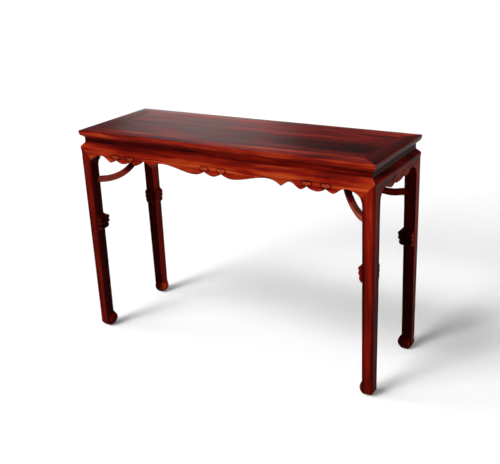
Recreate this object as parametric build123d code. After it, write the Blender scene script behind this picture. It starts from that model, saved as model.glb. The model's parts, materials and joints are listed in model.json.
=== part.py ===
from build123d import *
import os
from math import asin, atan2, cos, degrees, hypot, radians, sin

# A waisted corner-leg altar table. Millimetres, +Z up, origin on the floor under the centre.
# X runs along the length and -Y is the front. "Inset" is a distance inwards from an outer face.
# Corner coordinates are the two insets from a corner's outer faces: a along X, b along Y.

# Overall size
table_length = 1242.0
table_depth = 422.0
table_height = 850.0

# Top frame: mitred rails with a moulded edge
top_thickness = 27.0
rail_width = 68.0
fascia_height = 9.0
top_edge_round = 1.2
ovolo_inset = 11.0
bead_radius = 2.0
frame_tenon_width = 28.0
frame_tenon_thickness = 8.0
frame_tenon_cover = 8.0

# Floating panel of two boards
panel_thickness = 12.0
panel_gap = 0.3
panel_tongue_length = 6.0
panel_tongue_thickness = 4.0
panel_tongue_depth = 3.0
board_joint_offset = 8.0
board_tongue_length = 5.0

# Battens under the panel
batten_width = 34.0
dovetail_neck = 16.0
dovetail_spread = 3.0
dovetail_height = 4.0
batten_tenon_length = 20.0
batten_tenon_width = 24.0
batten_tenon_thickness = 8.0

# Waist
waist_height = 21.0
waist_inset = 15.5
waist_tongue_length = 5.0
waist_tongue_thickness = 4.0

# Aprons
apron_thickness = 24.0
shoulder_rise = 16.0
shoulder_round = 5.0
corner_round = 3.5
arch_lean = 58.0

# Lower edge of the front and rear aprons. Drops are measured below the frame's underside.
lobe_drop = 87.0
pendant_drop = 86.0
arch_drop = 64.5
peak_drop = 66.0
valley_drop = 85.0
cusp_drop = 75.0
centre_cusp_drop = 73.0
cusp_slope = 0.62
valley_slope = 0.85
centre_cusp_x = 36.0
centre_lobe_x = 80.0
arch_share = 0.72
valley_from_end = 344.0
peak_from_end = 308.0
lobe_three_from_end = 269.0
cusp_two_from_end = 245.5
lobe_two_from_end = 209.0
cusp_one_from_end = 175.0
lobe_one_from_end = 149.0
end_arch_from_end = 109.0

# Lower edge of the side aprons
side_centre_drop = 85.5
side_cusp_drop = 77.5
side_cusp_y = 41.0
side_lobe_y = 68.0
side_lobe_drop = 86.0
side_arch_drop = 70.0
side_arch_share = 0.55

# Legs, with an ear under each end of an apron and a hoof foot
leg_width = 45.0
ankle_width = 40.0
ankle_height = 60.0
foot_round_width = 20.0
foot_round_height = 24.0
foot_pad = 15.0
hoof_reach = 13.0
hoof_tip_height = 31.0
hoof_lean = 53.0
ear_reach = 7.5
ear_height = 40.5

# Joints between leg, top frame and apron
long_tenon = 18.0
short_tenon = 9.0
tenon_shoulder = 1.0
tenon_wall = 2.0
pin_root = 6.0
pin_spread = 1.5
pin_depth = 7.0
pin_top_margin = 7.0

# Carved ornament on the inner leg faces: a sloping brow and three lobes, from the top down
ornament_drop = 279.0
brow_height = 16.0
brow_reach = 15.0
brow_lean = 35.0
first_lobe_height = 14.0
first_lobe_swell = 2.5
first_notch_reach = 13.0
second_lobe_height = 18.0
second_lobe_swell = 4.0
second_notch_reach = 11.0
third_lobe_height = 24.0
third_lobe_swell = 7.0

# Curved braces from leg to batten
brace_width = 21.0
brace_height = 24.0
brace_corner = 5.5
brace_drop = 178.0
brace_lead = 20.0
brace_lower_radius = 150.0
brace_straight = 40.0
brace_upper_radius = 45.0
brace_pad = 16.0
brace_end_space = 46.0
brace_tenon_length = 26.0
brace_tenon_width = 10.0
brace_tenon_height = 11.0
hook_length = 9.0
hook_rise = 4.5
wedge_height = 4.5
peg_diameter = 8.0
peg_cover = 5.0

fit_gap = 0.1          # side clearance of tenons and tongues
end_gap = 0.5          # clearance past the end of blind tenons and tongues
beyond = 5.0           # how far a cutting body runs past what it cuts
fullness = 0.35        # how full a free curve is: its handles' length over its chord

half_length = table_length / 2
half_depth = table_depth / 2
frame_bottom = table_height - top_thickness
waist_bottom = frame_bottom - waist_height
shoulder = waist_bottom - shoulder_rise
mitre_reach = leg_width + ear_reach
mitre_end = shoulder - mitre_reach
panel_bottom = table_height - panel_thickness
panel_half_length = half_length - rail_width
panel_half_depth = half_depth - rail_width
tongue_top = table_height - panel_tongue_depth
tongue_bottom = tongue_top - panel_tongue_thickness
frame_tenon_bottom = frame_bottom + short_tenon + end_gap + tenon_wall
frame_tenon_inset = apron_thickness + tenon_wall
post_middle = (apron_thickness + leg_width) / 2
ornament_top = shoulder - ornament_drop
brow_bottom = ornament_top - brow_height
first_notch = brow_bottom - first_lobe_height
second_notch = first_notch - second_lobe_height
ornament_bottom = second_notch - third_lobe_height
brace_root = frame_bottom - brace_drop
peg_depth = panel_bottom - frame_bottom - peg_cover
front_left = Pos(-half_length, -half_depth, 0)


# ---------------------------------------------------------------- shapes used throughout

def box_between(low, high):
    """A box from its lowest corner to its highest."""
    size = [b - a for a, b in zip(low, high)]
    return Pos(*low) * Box(*size, align=(Align.MIN, Align.MIN, Align.MIN))


def prism_along_y(face, start, end):
    """A face drawn in X and Z, run along Y."""
    return extrude(Plane.XZ.offset(-start) * face, amount=end - start, dir=(0, 1, 0))


def prism_along_x(face, start, end):
    """A face drawn in Y and Z, run along X."""
    return extrude(Plane.YZ.offset(start) * face, amount=end - start, dir=(1, 0, 0))


def prism_up(points, bottom, top):
    """A polygon drawn in X and Y, run up."""
    face = make_face(Polyline(*points, close=True))
    return extrude(Pos(0, 0, bottom) * face, amount=top - bottom, dir=(0, 0, 1))


def ease(start, end, start_slope, end_slope):
    """A cubic from one point to another that leaves and arrives at the given slopes."""
    third = (end[0] - start[0]) / 3
    leave = (start[0] + third, start[1] + start_slope * third)
    arrive = (end[0] - third, end[1] - end_slope * third)
    return Bezier(start, leave, arrive, end)


def bend(start, start_angle, end, end_angle):
    """A free curve from one point to another that leaves and arrives in the given directions."""
    handle = fullness * hypot(end[0] - start[0], end[1] - start[1])
    leaving = radians(start_angle)
    arriving = radians(end_angle)
    leave = (start[0] + handle * cos(leaving), start[1] + handle * sin(leaving))
    arrive = (end[0] - handle * cos(arriving), end[1] - handle * sin(arriving))
    return Bezier(start, leave, arrive, end)


def quarter_round(start, end):
    """A quarter ellipse that runs down from its start and inwards to its end."""
    centre = (end[0], start[1])
    return EllipticalCenterArc(centre, end[0] - start[0], start[1] - end[1], 180, arc_size=90)


def swap_xy(solid):
    """The mirror image of a corner piece across the 45 degree mitre plane."""
    return mirror(solid, Plane(origin=(0, 0, 0), z_dir=(1, -1, 0)))


def mitre_waste(run):
    """What a 45 degree mitre takes off the end of a member that runs along X from a corner."""
    far = run + beyond
    points = [(-beyond, -beyond), (far, far), (-beyond, far)]
    return prism_up(points, -beyond, table_height + beyond)


def whole_from_half(half, plane):
    """A member made of a half in corner coordinates and its mirror image."""
    placed = front_left * half
    return placed + mirror(placed, plane)


# ---------------------------------------------------------------- top frame

def rail_section():
    """The rail's section: inset along the first axis, height along the second."""
    top = table_height
    fascia_bottom = top - fascia_height
    bead_top = frame_bottom + 2 * bead_radius
    bead_middle = (ovolo_inset, frame_bottom + bead_radius)
    bead_inset = ovolo_inset + bead_radius
    return make_face([
        Line((rail_width, top), (top_edge_round, top)),
        RadiusArc((top_edge_round, top), (0, top - top_edge_round), -top_edge_round),
        Line((0, top - top_edge_round), (0, fascia_bottom)),
        quarter_round((0, fascia_bottom), (ovolo_inset, bead_top)),
        Line((ovolo_inset, bead_top), (bead_inset, bead_top)),
        ThreePointArc((bead_inset, bead_top), bead_middle, (bead_inset, frame_bottom)),
        Polyline((bead_inset, frame_bottom), (rail_width, frame_bottom), (rail_width, top)),
    ])


def rail_grooves(run):
    """The panel groove and the waist groove of a rail that runs along X from a corner."""
    panel_groove = box_between(
        (-beyond, rail_width - panel_tongue_length - end_gap, tongue_bottom - fit_gap),
        (run + beyond, rail_width + beyond, tongue_top + fit_gap),
    )
    waist_low, waist_high = waist_tongue_insets()
    waist_groove = box_between(
        (-beyond, waist_low - fit_gap, frame_bottom - beyond),
        (run + beyond, waist_high + fit_gap, frame_bottom + waist_tongue_length + end_gap),
    )
    return panel_groove + waist_groove


def frame_tenon(gap):
    """The long rail's corner tenon, in corner coordinates, with a gap all round."""
    low = frame_tenon_inset - gap
    high = frame_tenon_inset + frame_tenon_width + gap
    end = frame_tenon_cover - (end_gap if gap else 0)
    points = [(end, low), (low, low), (high, high), (end, high)]
    top = frame_tenon_bottom + frame_tenon_thickness
    return prism_up(points, frame_tenon_bottom - gap, top + gap)


def leg_tenon(length, gap):
    """The leg's tenon under the long rail: a quarter of its post, less a shoulder all round."""
    low = (post_middle + tenon_shoulder - gap, apron_thickness + tenon_shoulder - gap)
    high = (leg_width - tenon_shoulder + gap, post_middle - tenon_shoulder + gap)
    top = frame_bottom + length + (end_gap if gap else 0)
    return box_between((*low, frame_bottom - beyond), (*high, top))


def rail_blank(run):
    """A rail along X from a corner to its middle, mitred and grooved."""
    bar = prism_along_x(rail_section(), 0, run)
    return bar - rail_grooves(run) - mitre_waste(rail_width)


def make_long_rail():
    half = rail_blank(half_length) - leg_tenon(long_tenon, fit_gap) + frame_tenon(0)
    rail = whole_from_half(half, Plane.YZ)
    for x in batten_places():
        rail -= Pos(x, 0, 0) * batten_tenons(fit_gap)
    return rail


def make_end_rail():
    blank = swap_xy(rail_blank(half_depth))
    half = blank - swap_xy(leg_tenon(short_tenon, fit_gap)) - frame_tenon(fit_gap)
    return whole_from_half(half, Plane.XZ)


# ---------------------------------------------------------------- battens and panel

def batten_places():
    """Where the battens lie along X: one over each pair of braces and one in the middle."""
    side = half_length - peg_place()[0]
    return [-side, 0.0, side]


def batten_tenons(gap):
    """The tenons at both ends of a batten, along Y."""
    reach = panel_half_depth + batten_tenon_length + (end_gap if gap else 0)
    half_width = batten_tenon_width / 2 + gap
    half_thickness = batten_tenon_thickness / 2 + gap
    middle = (frame_bottom + panel_bottom) / 2
    return box_between(
        (-half_width, -reach, middle - half_thickness),
        (half_width, reach, middle + half_thickness),
    )


def batten_dovetail(gap):
    """The dovetail key along the top of a batten, also the shape of the panel's groove."""
    neck = dovetail_neck / 2 + gap
    head = neck + dovetail_spread
    top = panel_bottom + dovetail_height + gap
    points = [(-neck, panel_bottom), (-head, top), (head, top), (neck, panel_bottom)]
    reach = panel_half_depth + (beyond if gap else -panel_gap)
    return prism_along_y(make_face(Polyline(*points, close=True)), -reach, reach)


def make_batten(peg_places):
    bar = box_between(
        (-batten_width / 2, -panel_half_depth, frame_bottom),
        (batten_width / 2, panel_half_depth, panel_bottom),
    )
    batten = bar + batten_dovetail(0) + batten_tenons(0)
    for y in peg_places:
        batten -= Pos(0, y, frame_bottom) * peg_hole(-beyond, peg_depth + end_gap)
    return batten


def panel_slab(low_y, high_y):
    """A panel board between two edges, with its tongues at the ends."""
    end = panel_half_length - panel_gap
    tongue = panel_half_length + panel_tongue_length
    slab = box_between((-end, low_y, panel_bottom), (end, high_y, table_height))
    return slab + box_between((-tongue, low_y, tongue_bottom), (tongue, high_y, tongue_top))


def make_panel_boards():
    """The front and rear boards, tongued together and slid over the battens' dovetails."""
    joint = board_joint_offset
    edge = panel_half_depth - panel_gap
    tongue_edge = panel_half_depth + panel_tongue_length
    tongue_end = panel_half_length + panel_tongue_length
    joint_end = panel_half_length - panel_gap
    front = panel_slab(-edge, joint) + box_between(
        (-tongue_end, -tongue_edge, tongue_bottom),
        (tongue_end, -edge, tongue_top),
    )
    rear = panel_slab(joint, edge) + box_between(
        (-tongue_end, edge, tongue_bottom),
        (tongue_end, tongue_edge, tongue_top),
    )
    front += box_between(
        (-joint_end, joint, tongue_bottom),
        (joint_end, joint + board_tongue_length, tongue_top),
    )
    rear -= box_between(
        (-joint_end - fit_gap, joint - beyond, tongue_bottom - fit_gap),
        (joint_end + fit_gap, joint + board_tongue_length + end_gap, tongue_top + fit_gap),
    )
    for x in batten_places():
        groove = Pos(x, 0, 0) * batten_dovetail(fit_gap)
        front -= groove
        rear -= groove
    return front, rear


# ---------------------------------------------------------------- waist

def waist_tongue_insets():
    """Insets of the waist tongue's two faces, centred in the waist's thickness."""
    middle = (waist_inset + apron_thickness) / 2
    return middle - waist_tongue_thickness / 2, middle + waist_tongue_thickness / 2


def waist_half(run):
    """A waist strip along X from a corner to its middle."""
    low, high = waist_tongue_insets()
    strip = box_between((0, waist_inset, waist_bottom), (run, apron_thickness, frame_bottom))
    tongue = box_between(
        (0, low, waist_bottom - waist_tongue_length),
        (run, high, frame_bottom + waist_tongue_length),
    )
    return strip + tongue - mitre_waste(apron_thickness)


# ---------------------------------------------------------------- aprons

def apron_section():
    """Section of an apron: plain face, rounded crease and sloping shoulder up to the waist."""
    crease = shoulder - shoulder_round
    slope_start = (shoulder_round * waist_inset / shoulder_rise, shoulder + shoulder_round)
    inside = apron_thickness
    return make_face([
        Line((0, 0), (0, crease)),
        Bezier((0, crease), (0, shoulder), slope_start),
        Line(slope_start, (waist_inset, waist_bottom)),
        Polyline((waist_inset, waist_bottom), (inside, waist_bottom), (inside, 0), (0, 0)),
    ])


def scalloped_edge(points):
    """Cubic curves through points of (position, height, slope before, slope after)."""
    curves = []
    for here, there in zip(points, points[1:]):
        curves.append(ease(here[:2], there[:2], here[3], there[2]))
    return curves


def front_scallops():
    """Half of a long apron's lower edge, from the middle of its run to the crown by the leg."""
    level = frame_bottom
    middle = half_length
    valley = valley_from_end
    lobe = middle - centre_lobe_x
    arch = lobe - arch_share * (lobe - valley)
    return [
        (middle, level - pendant_drop, 0, 0),
        (middle - centre_cusp_x, level - centre_cusp_drop, -cusp_slope, cusp_slope),
        (lobe, level - lobe_drop, 0, 0),
        (arch, level - arch_drop, 0, 0),
        (valley, level - valley_drop, valley_slope, -valley_slope),
        (peak_from_end, level - peak_drop, 0, 0),
        (lobe_three_from_end, level - lobe_drop, 0, 0),
        (cusp_two_from_end, level - cusp_drop, -cusp_slope, cusp_slope),
        (lobe_two_from_end, level - lobe_drop, 0, 0),
        (cusp_one_from_end, level - cusp_drop, -cusp_slope, cusp_slope),
        (lobe_one_from_end, level - lobe_drop, 0, 0),
        (end_arch_from_end, level - peak_drop, 0, 0),
    ]


def side_scallops():
    """Half of a side apron's lower edge, from the middle of its run to the crown by the leg."""
    level = frame_bottom
    middle = half_depth
    lobe = middle - side_lobe_y
    arch = lobe - side_arch_share * (lobe - mitre_reach)
    return [
        (middle, level - side_centre_drop, 0, 0),
        (middle - side_cusp_y, level - side_cusp_drop, -cusp_slope, cusp_slope),
        (lobe, level - side_lobe_drop, 0, 0),
        (arch, level - side_arch_drop, 0, 0),
    ]


def apron_half(scallops):
    """Half an apron along X from a corner, with its mitre over the leg and its dovetail slot."""
    run, middle_bottom = scallops[0][:2]
    crown = scallops[-1][:2]
    mitre_foot = (mitre_reach, mitre_end)
    outline = scalloped_edge(scallops) + [
        bend(crown, 180, mitre_foot, 180 + arch_lean),
        Polyline(mitre_foot, (0, shoulder), (0, waist_bottom), (run, waist_bottom), (run, middle_bottom)),
    ]
    low, high = waist_tongue_insets()
    groove = box_between(
        (-beyond, low - fit_gap, waist_bottom - waist_tongue_length - end_gap),
        (run + beyond, high + fit_gap, waist_bottom + beyond),
    )
    apron = prism_along_y(make_face(outline), 0, apron_thickness)
    apron &= prism_along_x(apron_section(), 0, run)
    apron &= rounded_corner(run + beyond)
    return apron - groove - mitre_waste(apron_thickness) - dovetail_pin(fit_gap)


def rounded_corner(size):
    """A tall square block whose outer upright edge is rounded."""
    face = make_face([
        RadiusArc((0, corner_round), (corner_round, 0), -corner_round),
        Polyline((corner_round, 0), (size, 0), (size, size), (0, size), (0, corner_round)),
    ])
    return extrude(Pos(0, 0, -beyond) * face, amount=table_height + 2 * beyond, dir=(0, 0, 1))


def dovetail_pin(gap):
    """The upright dovetail on the leg's post that an apron drops over."""
    root = pin_root / 2 + gap
    head = root + pin_spread
    inside = apron_thickness + pin_depth
    front = apron_thickness - pin_depth - gap
    points = [
        (post_middle - root, inside),
        (post_middle - root, apron_thickness),
        (post_middle - head, front),
        (post_middle + head, front),
        (post_middle + root, apron_thickness),
        (post_middle + root, inside),
    ]
    top = waist_bottom - pin_top_margin + (end_gap if gap else 0)
    return prism_up(points, mitre_end, top)


# ---------------------------------------------------------------- legs

def leg_reach(height):
    """Width of the tapering leg at a height above the floor."""
    share = (mitre_end - height) / (mitre_end - ankle_height)
    return leg_width - (leg_width - ankle_width) * min(max(share, 0.0), 1.0)


def inner_point(height, proud=0.0):
    """A point on the leg's inner face, or standing proud of it."""
    return (leg_reach(height) + proud, height)


def ornament_profile():
    """The carved ornament in profile, from its foot up: three lobes and a sloping brow."""
    foot = inner_point(ornament_bottom)
    low_notch = inner_point(second_notch, second_notch_reach)
    high_notch = inner_point(first_notch, first_notch_reach)
    brow = inner_point(brow_bottom, brow_reach)
    return [
        SagittaArc(foot, low_notch, -third_lobe_swell),
        SagittaArc(low_notch, high_notch, -second_lobe_swell),
        SagittaArc(high_notch, brow, -first_lobe_swell),
        bend(brow, 180 - brow_lean, inner_point(ornament_top), 90),
    ]


def leg_side_view():
    """Outline of the leg seen square on: outer face at 0, inner face with its carving and hoof."""
    pad_end = foot_round_width + foot_pad
    ankle = inner_point(ankle_height)
    hoof_tip = inner_point(hoof_tip_height, hoof_reach)
    return make_face([
        quarter_round((0, foot_round_height), (foot_round_width, 0)),
        Line((foot_round_width, 0), (pad_end, 0)),
        bend((pad_end, 0), 0, hoof_tip, 90),
        bend(hoof_tip, 90, ankle, 180 - hoof_lean),
        Line(ankle, inner_point(ornament_bottom)),
        *ornament_profile(),
        Polyline(inner_point(ornament_top), (leg_width, mitre_end), (leg_width, frame_bottom)),
        Polyline((leg_width, frame_bottom), (0, frame_bottom), (0, foot_round_height)),
    ])


def ear():
    """The ear that carries the apron's arch down into the leg, through the leg's whole depth."""
    tip = (mitre_reach, mitre_end)
    foot = inner_point(mitre_end - ear_height)
    inside = apron_thickness
    face = make_face([
        bend(tip, 180 + arch_lean, foot, 270),
        Polyline(foot, (inside, foot[1]), (inside, shoulder - inside), tip),
    ])
    return prism_along_y(face, 0, foot[0])


def shoulder_waste():
    """What lies above the 45 degree shoulder that the long apron covers."""
    far = mitre_reach + beyond
    above = frame_bottom + beyond
    points = [(-beyond, shoulder + beyond), (far, shoulder - far), (far, above), (-beyond, above)]
    return prism_along_y(make_face(Polyline(*points, close=True)), -beyond, apron_thickness)


def leg_blank():
    """The leg with its shoulders and ears, before its tenons and the brace's mortise."""
    side = leg_side_view()
    width = mitre_reach + hoof_reach
    body = prism_along_y(side, 0, width) & prism_along_x(side, 0, width)
    body += ear() + swap_xy(ear())
    body -= shoulder_waste() + swap_xy(shoulder_waste())
    return body & rounded_corner(width)


def make_leg():
    front_joints = dovetail_pin(0) + leg_tenon(long_tenon, 0)
    side_joints = swap_xy(dovetail_pin(0) + leg_tenon(short_tenon, 0))
    return leg_blank() + front_joints + side_joints - brace_mortise()


# ---------------------------------------------------------------- braces

def brace_shape():
    """The brace's turn angle, and its run in plan from the leg's corner to its upper end."""
    rise = brace_drop - brace_height / 2
    radii = brace_lower_radius + brace_upper_radius
    turn = asin((rise - radii) / hypot(radii, brace_straight)) + atan2(radii, brace_straight)
    run = brace_lead + radii * sin(turn) + brace_straight * cos(turn) + brace_pad
    return turn, run


def brace_angle():
    """Plan angle of the brace from the X axis: its end stops short of the one opposite."""
    run = brace_shape()[1]
    reach = half_depth - leg_reach(brace_root) - brace_end_space / 2
    return asin(reach / run)


def brace_plane():
    """Upright plane through the brace: X along its run, Y up, origin at the leg's inner corner."""
    angle = brace_angle()
    corner = leg_reach(brace_root)
    return Plane(
        origin=(corner, corner, brace_root),
        x_dir=(cos(angle), sin(angle), 0),
        z_dir=(sin(angle), -cos(angle), 0),
    )


def brace_block(start, end, bottom, top, width):
    """A block in the brace's own plane, centred on its width."""
    middle = ((start + end) / 2, (bottom + top) / 2, 0)
    return brace_plane() * Pos(*middle) * Box(end - start, top - bottom, width)


def brace_bar():
    """The curved bar: level at the leg, up through an S, level again under the batten."""
    turn = degrees(brace_shape()[0])
    lead = Line((-brace_width, 0), (brace_lead, 0))
    lower = JernArc(lead @ 1, lead % 1, brace_lower_radius, turn)
    middle = Line(lower @ 1, lower @ 1 + (lower % 1) * brace_straight)
    upper = JernArc(middle @ 1, middle % 1, brace_upper_radius, -turn)
    pad = Line(upper @ 1, upper @ 1 + Vector(brace_pad, 0))
    plane = brace_plane()
    path = plane * Wire([lead.edge(), lower.edge(), middle.edge(), upper.edge(), pad.edge()])
    start = Plane(origin=path @ 0, x_dir=plane.z_dir, z_dir=plane.x_dir)
    return sweep(start * RectangleRounded(brace_width, brace_height, brace_corner), path=path)


def brace_tenon(gap):
    """The hooked tenon, with a gap on its sides and ends when it cuts the mortise."""
    half = brace_tenon_height / 2
    end = -brace_tenon_length - (end_gap if gap else 0)
    width = brace_tenon_width + 2 * gap
    tongue = brace_block(end, brace_lead, -half, half, width)
    hook_start = hook_length - brace_tenon_length + gap
    return tongue + brace_block(end, hook_start, 0, half + hook_rise + gap, width)


def wedge_space(gap):
    """The block that fills the mortise below the hooked tenon."""
    half = brace_tenon_height / 2
    end = -brace_tenon_length - (end_gap if gap else 0)
    return brace_block(end, brace_lead, -half - wedge_height, -half, brace_tenon_width + 2 * gap)


def brace_mortise():
    return brace_tenon(fit_gap) + wedge_space(fit_gap)


def peg_place():
    """Corner coordinates of a brace's peg."""
    distance = brace_shape()[1] - brace_pad / 2
    corner = leg_reach(brace_root)
    return corner + distance * cos(brace_angle()), corner + distance * sin(brace_angle())


def upright_rod(radius, bottom, top):
    """A round rod on the Z axis."""
    on_bottom = (Align.CENTER, Align.CENTER, Align.MIN)
    return Pos(0, 0, bottom) * Cylinder(radius, top - bottom, align=on_bottom)


def peg_hole(bottom, top):
    return upright_rod(peg_diameter / 2 + fit_gap, bottom, top)


def make_brace():
    drill = Pos(*peg_place(), frame_bottom) * peg_hole(-brace_height - beyond, beyond)
    return brace_bar() - leg_blank() + brace_tenon(0) - drill


def make_wedge():
    return wedge_space(0) & leg_blank()


def make_peg():
    return Pos(*peg_place(), frame_bottom) * upright_rod(peg_diameter / 2, -brace_height, peg_depth)


# ---------------------------------------------------------------- the whole table

def mirrored_pair(name, first, second, solid, plane):
    """Two opposite pieces, such as front and rear."""
    return {f"{name}_{first}": solid, f"{name}_{second}": mirror(solid, plane)}


def four_corners(name, solid):
    """A corner piece at all four corners of the table."""
    front = front_left * solid
    pieces = mirrored_pair(f"{name}_front", "left", "right", front, Plane.YZ)
    pieces.update(mirrored_pair(f"{name}_rear", "left", "right", mirror(front, Plane.XZ), Plane.YZ))
    return pieces


def make_battens():
    """The three battens, the outer two with the holes of the front and rear braces' pegs."""
    left, middle, right = batten_places()
    peg_y = half_depth - peg_place()[1]
    drilled = make_batten([-peg_y, peg_y])
    return {
        "batten_left": Pos(left, 0, 0) * drilled,
        "batten_centre": Pos(middle, 0, 0) * make_batten([]),
        "batten_right": Pos(right, 0, 0) * drilled,
    }


def make_table():
    parts = {}
    parts.update(mirrored_pair("top_rail", "front", "rear", make_long_rail(), Plane.XZ))
    parts.update(mirrored_pair("top_end_rail", "left", "right", make_end_rail(), Plane.YZ))
    parts["panel_board_front"], parts["panel_board_rear"] = make_panel_boards()
    parts.update(make_battens())

    long_waist = whole_from_half(waist_half(half_length), Plane.YZ)
    side_waist = whole_from_half(swap_xy(waist_half(half_depth)), Plane.XZ)
    parts.update(mirrored_pair("waist", "front", "rear", long_waist, Plane.XZ))
    parts.update(mirrored_pair("waist", "left", "right", side_waist, Plane.YZ))

    long_apron = whole_from_half(apron_half(front_scallops()), Plane.YZ)
    side_apron = whole_from_half(swap_xy(apron_half(side_scallops())), Plane.XZ)
    parts.update(mirrored_pair("apron", "front", "rear", long_apron, Plane.XZ))
    parts.update(mirrored_pair("apron", "left", "right", side_apron, Plane.YZ))

    parts.update(four_corners("leg", make_leg()))
    parts.update(four_corners("brace", make_brace()))
    parts.update(four_corners("brace_wedge", make_wedge()))
    parts.update(four_corners("brace_peg", make_peg()))
    return parts


os.makedirs("parts", exist_ok=True)
for node, solid in make_table().items():
    export_step(solid, f"parts/{node}.step")
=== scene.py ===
"""A Chinese altar table in dark red rosewood: its carved and moulded pieces, their finish, and the studio.

Metres, +Z up, origin on the floor under the table's centre, -Y is the front. "Inset" is a distance
inwards from an outer face. Corner coordinates are the two insets from a corner's outer faces: a along
the length, b along the depth. Legs and braces are drawn in one corner, rails and aprons along one
run, and then placed.
"""

import json
from math import asin, atan, atan2, cos, hypot, pi, radians, sin

import bmesh
import bpy
import numpy as np
from bpy.props import FloatProperty, FloatVectorProperty, PointerProperty
from mathutils import Matrix, Vector
from mathutils.kdtree import KDTree

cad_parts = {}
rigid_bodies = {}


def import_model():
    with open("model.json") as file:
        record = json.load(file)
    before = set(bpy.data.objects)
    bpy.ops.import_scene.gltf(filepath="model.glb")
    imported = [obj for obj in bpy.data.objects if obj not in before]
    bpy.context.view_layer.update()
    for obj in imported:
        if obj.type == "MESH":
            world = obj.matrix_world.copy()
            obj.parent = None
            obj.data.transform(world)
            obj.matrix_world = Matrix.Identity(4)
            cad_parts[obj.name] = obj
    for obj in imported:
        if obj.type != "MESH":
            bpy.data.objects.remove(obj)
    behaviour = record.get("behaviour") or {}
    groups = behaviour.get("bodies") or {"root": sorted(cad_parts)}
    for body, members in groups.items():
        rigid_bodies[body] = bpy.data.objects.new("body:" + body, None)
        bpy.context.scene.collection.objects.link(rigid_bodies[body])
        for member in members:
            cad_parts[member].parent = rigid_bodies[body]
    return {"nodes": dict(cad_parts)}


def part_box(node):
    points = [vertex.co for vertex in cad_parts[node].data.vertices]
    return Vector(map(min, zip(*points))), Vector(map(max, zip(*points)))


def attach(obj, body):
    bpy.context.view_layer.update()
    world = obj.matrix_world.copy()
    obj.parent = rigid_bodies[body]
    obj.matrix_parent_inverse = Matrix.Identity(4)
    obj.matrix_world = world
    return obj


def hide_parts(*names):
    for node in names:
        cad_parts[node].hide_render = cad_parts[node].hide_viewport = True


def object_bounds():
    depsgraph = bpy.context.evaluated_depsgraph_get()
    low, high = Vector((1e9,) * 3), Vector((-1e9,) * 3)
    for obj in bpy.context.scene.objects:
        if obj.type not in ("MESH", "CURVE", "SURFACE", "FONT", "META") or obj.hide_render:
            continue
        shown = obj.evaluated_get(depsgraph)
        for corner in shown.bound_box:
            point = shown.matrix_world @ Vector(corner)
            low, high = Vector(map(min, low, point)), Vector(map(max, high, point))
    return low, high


bl_info = {
    "name": "Chinese Altar Table",
    "version": (1, 0, 0),
    "blender": (4, 5, 0),
    "location": "3D View > Sidebar > Altar Table",
    "description": "Builds the carved and moulded pieces of a rosewood altar table around its frame",
    "category": "Object",
}

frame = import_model()
cad_box = [list(corner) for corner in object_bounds()]

# What the frame gives: the overall size, and the heights and widths that the pieces meet at.
half_length, half_depth, table_height = cad_box[1]
rail_low, rail_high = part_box("top_rail_front")
apron_low, apron_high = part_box("apron_front")
frame_bottom = rail_low.z
rail_width = rail_high.y - rail_low.y
waist_bottom = apron_high.z
waist_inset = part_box("waist_front")[0].y + half_depth
apron_thickness = apron_high.y - apron_low.y


# ---------------------------------------------------------------- sizes and colours to change

def setting(kind, **limits):
    """A function that makes one kind of value that a user can change."""
    def make(name, default, description):
        return kind(name=name, default=default, description=description, **limits)

    return make


size = setting(FloatProperty, min=0.0, unit="LENGTH", precision=4)
coordinate = setting(FloatProperty, unit="LENGTH")
angle = setting(FloatProperty, unit="ROTATION")
share = setting(FloatProperty, min=0.0, max=1.0, subtype="FACTOR")
power = setting(FloatProperty, unit="POWER")
number = setting(FloatProperty)
colour = setting(FloatVectorProperty, min=0.0, max=1.0, size=4, subtype="COLOR")


class TopSizes(bpy.types.PropertyGroup):
    edge_round: size("Edge round", 0.0012, "Radius of the top's upper edge")
    fascia_height: size("Fascia height", 0.009, "Height of the flat band round the top")
    ovolo_inset: size("Ovolo inset", 0.011, "How far the quarter round under the fascia runs in")
    bead_radius: size("Bead radius", 0.002, "Radius of the half-round bead at the foot of the edge")
    panel_thickness: size("Panel thickness", 0.012, "Thickness of the two boards")
    panel_gap: size("Panel gap", 0.0003, "Gap round the floating panel")
    board_joint: size("Board joint", 0.008, "How far behind the middle the two boards meet")
    easing: size("Easing", 0.0005, "Width of the small bevel on sawn and planed edges")


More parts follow.
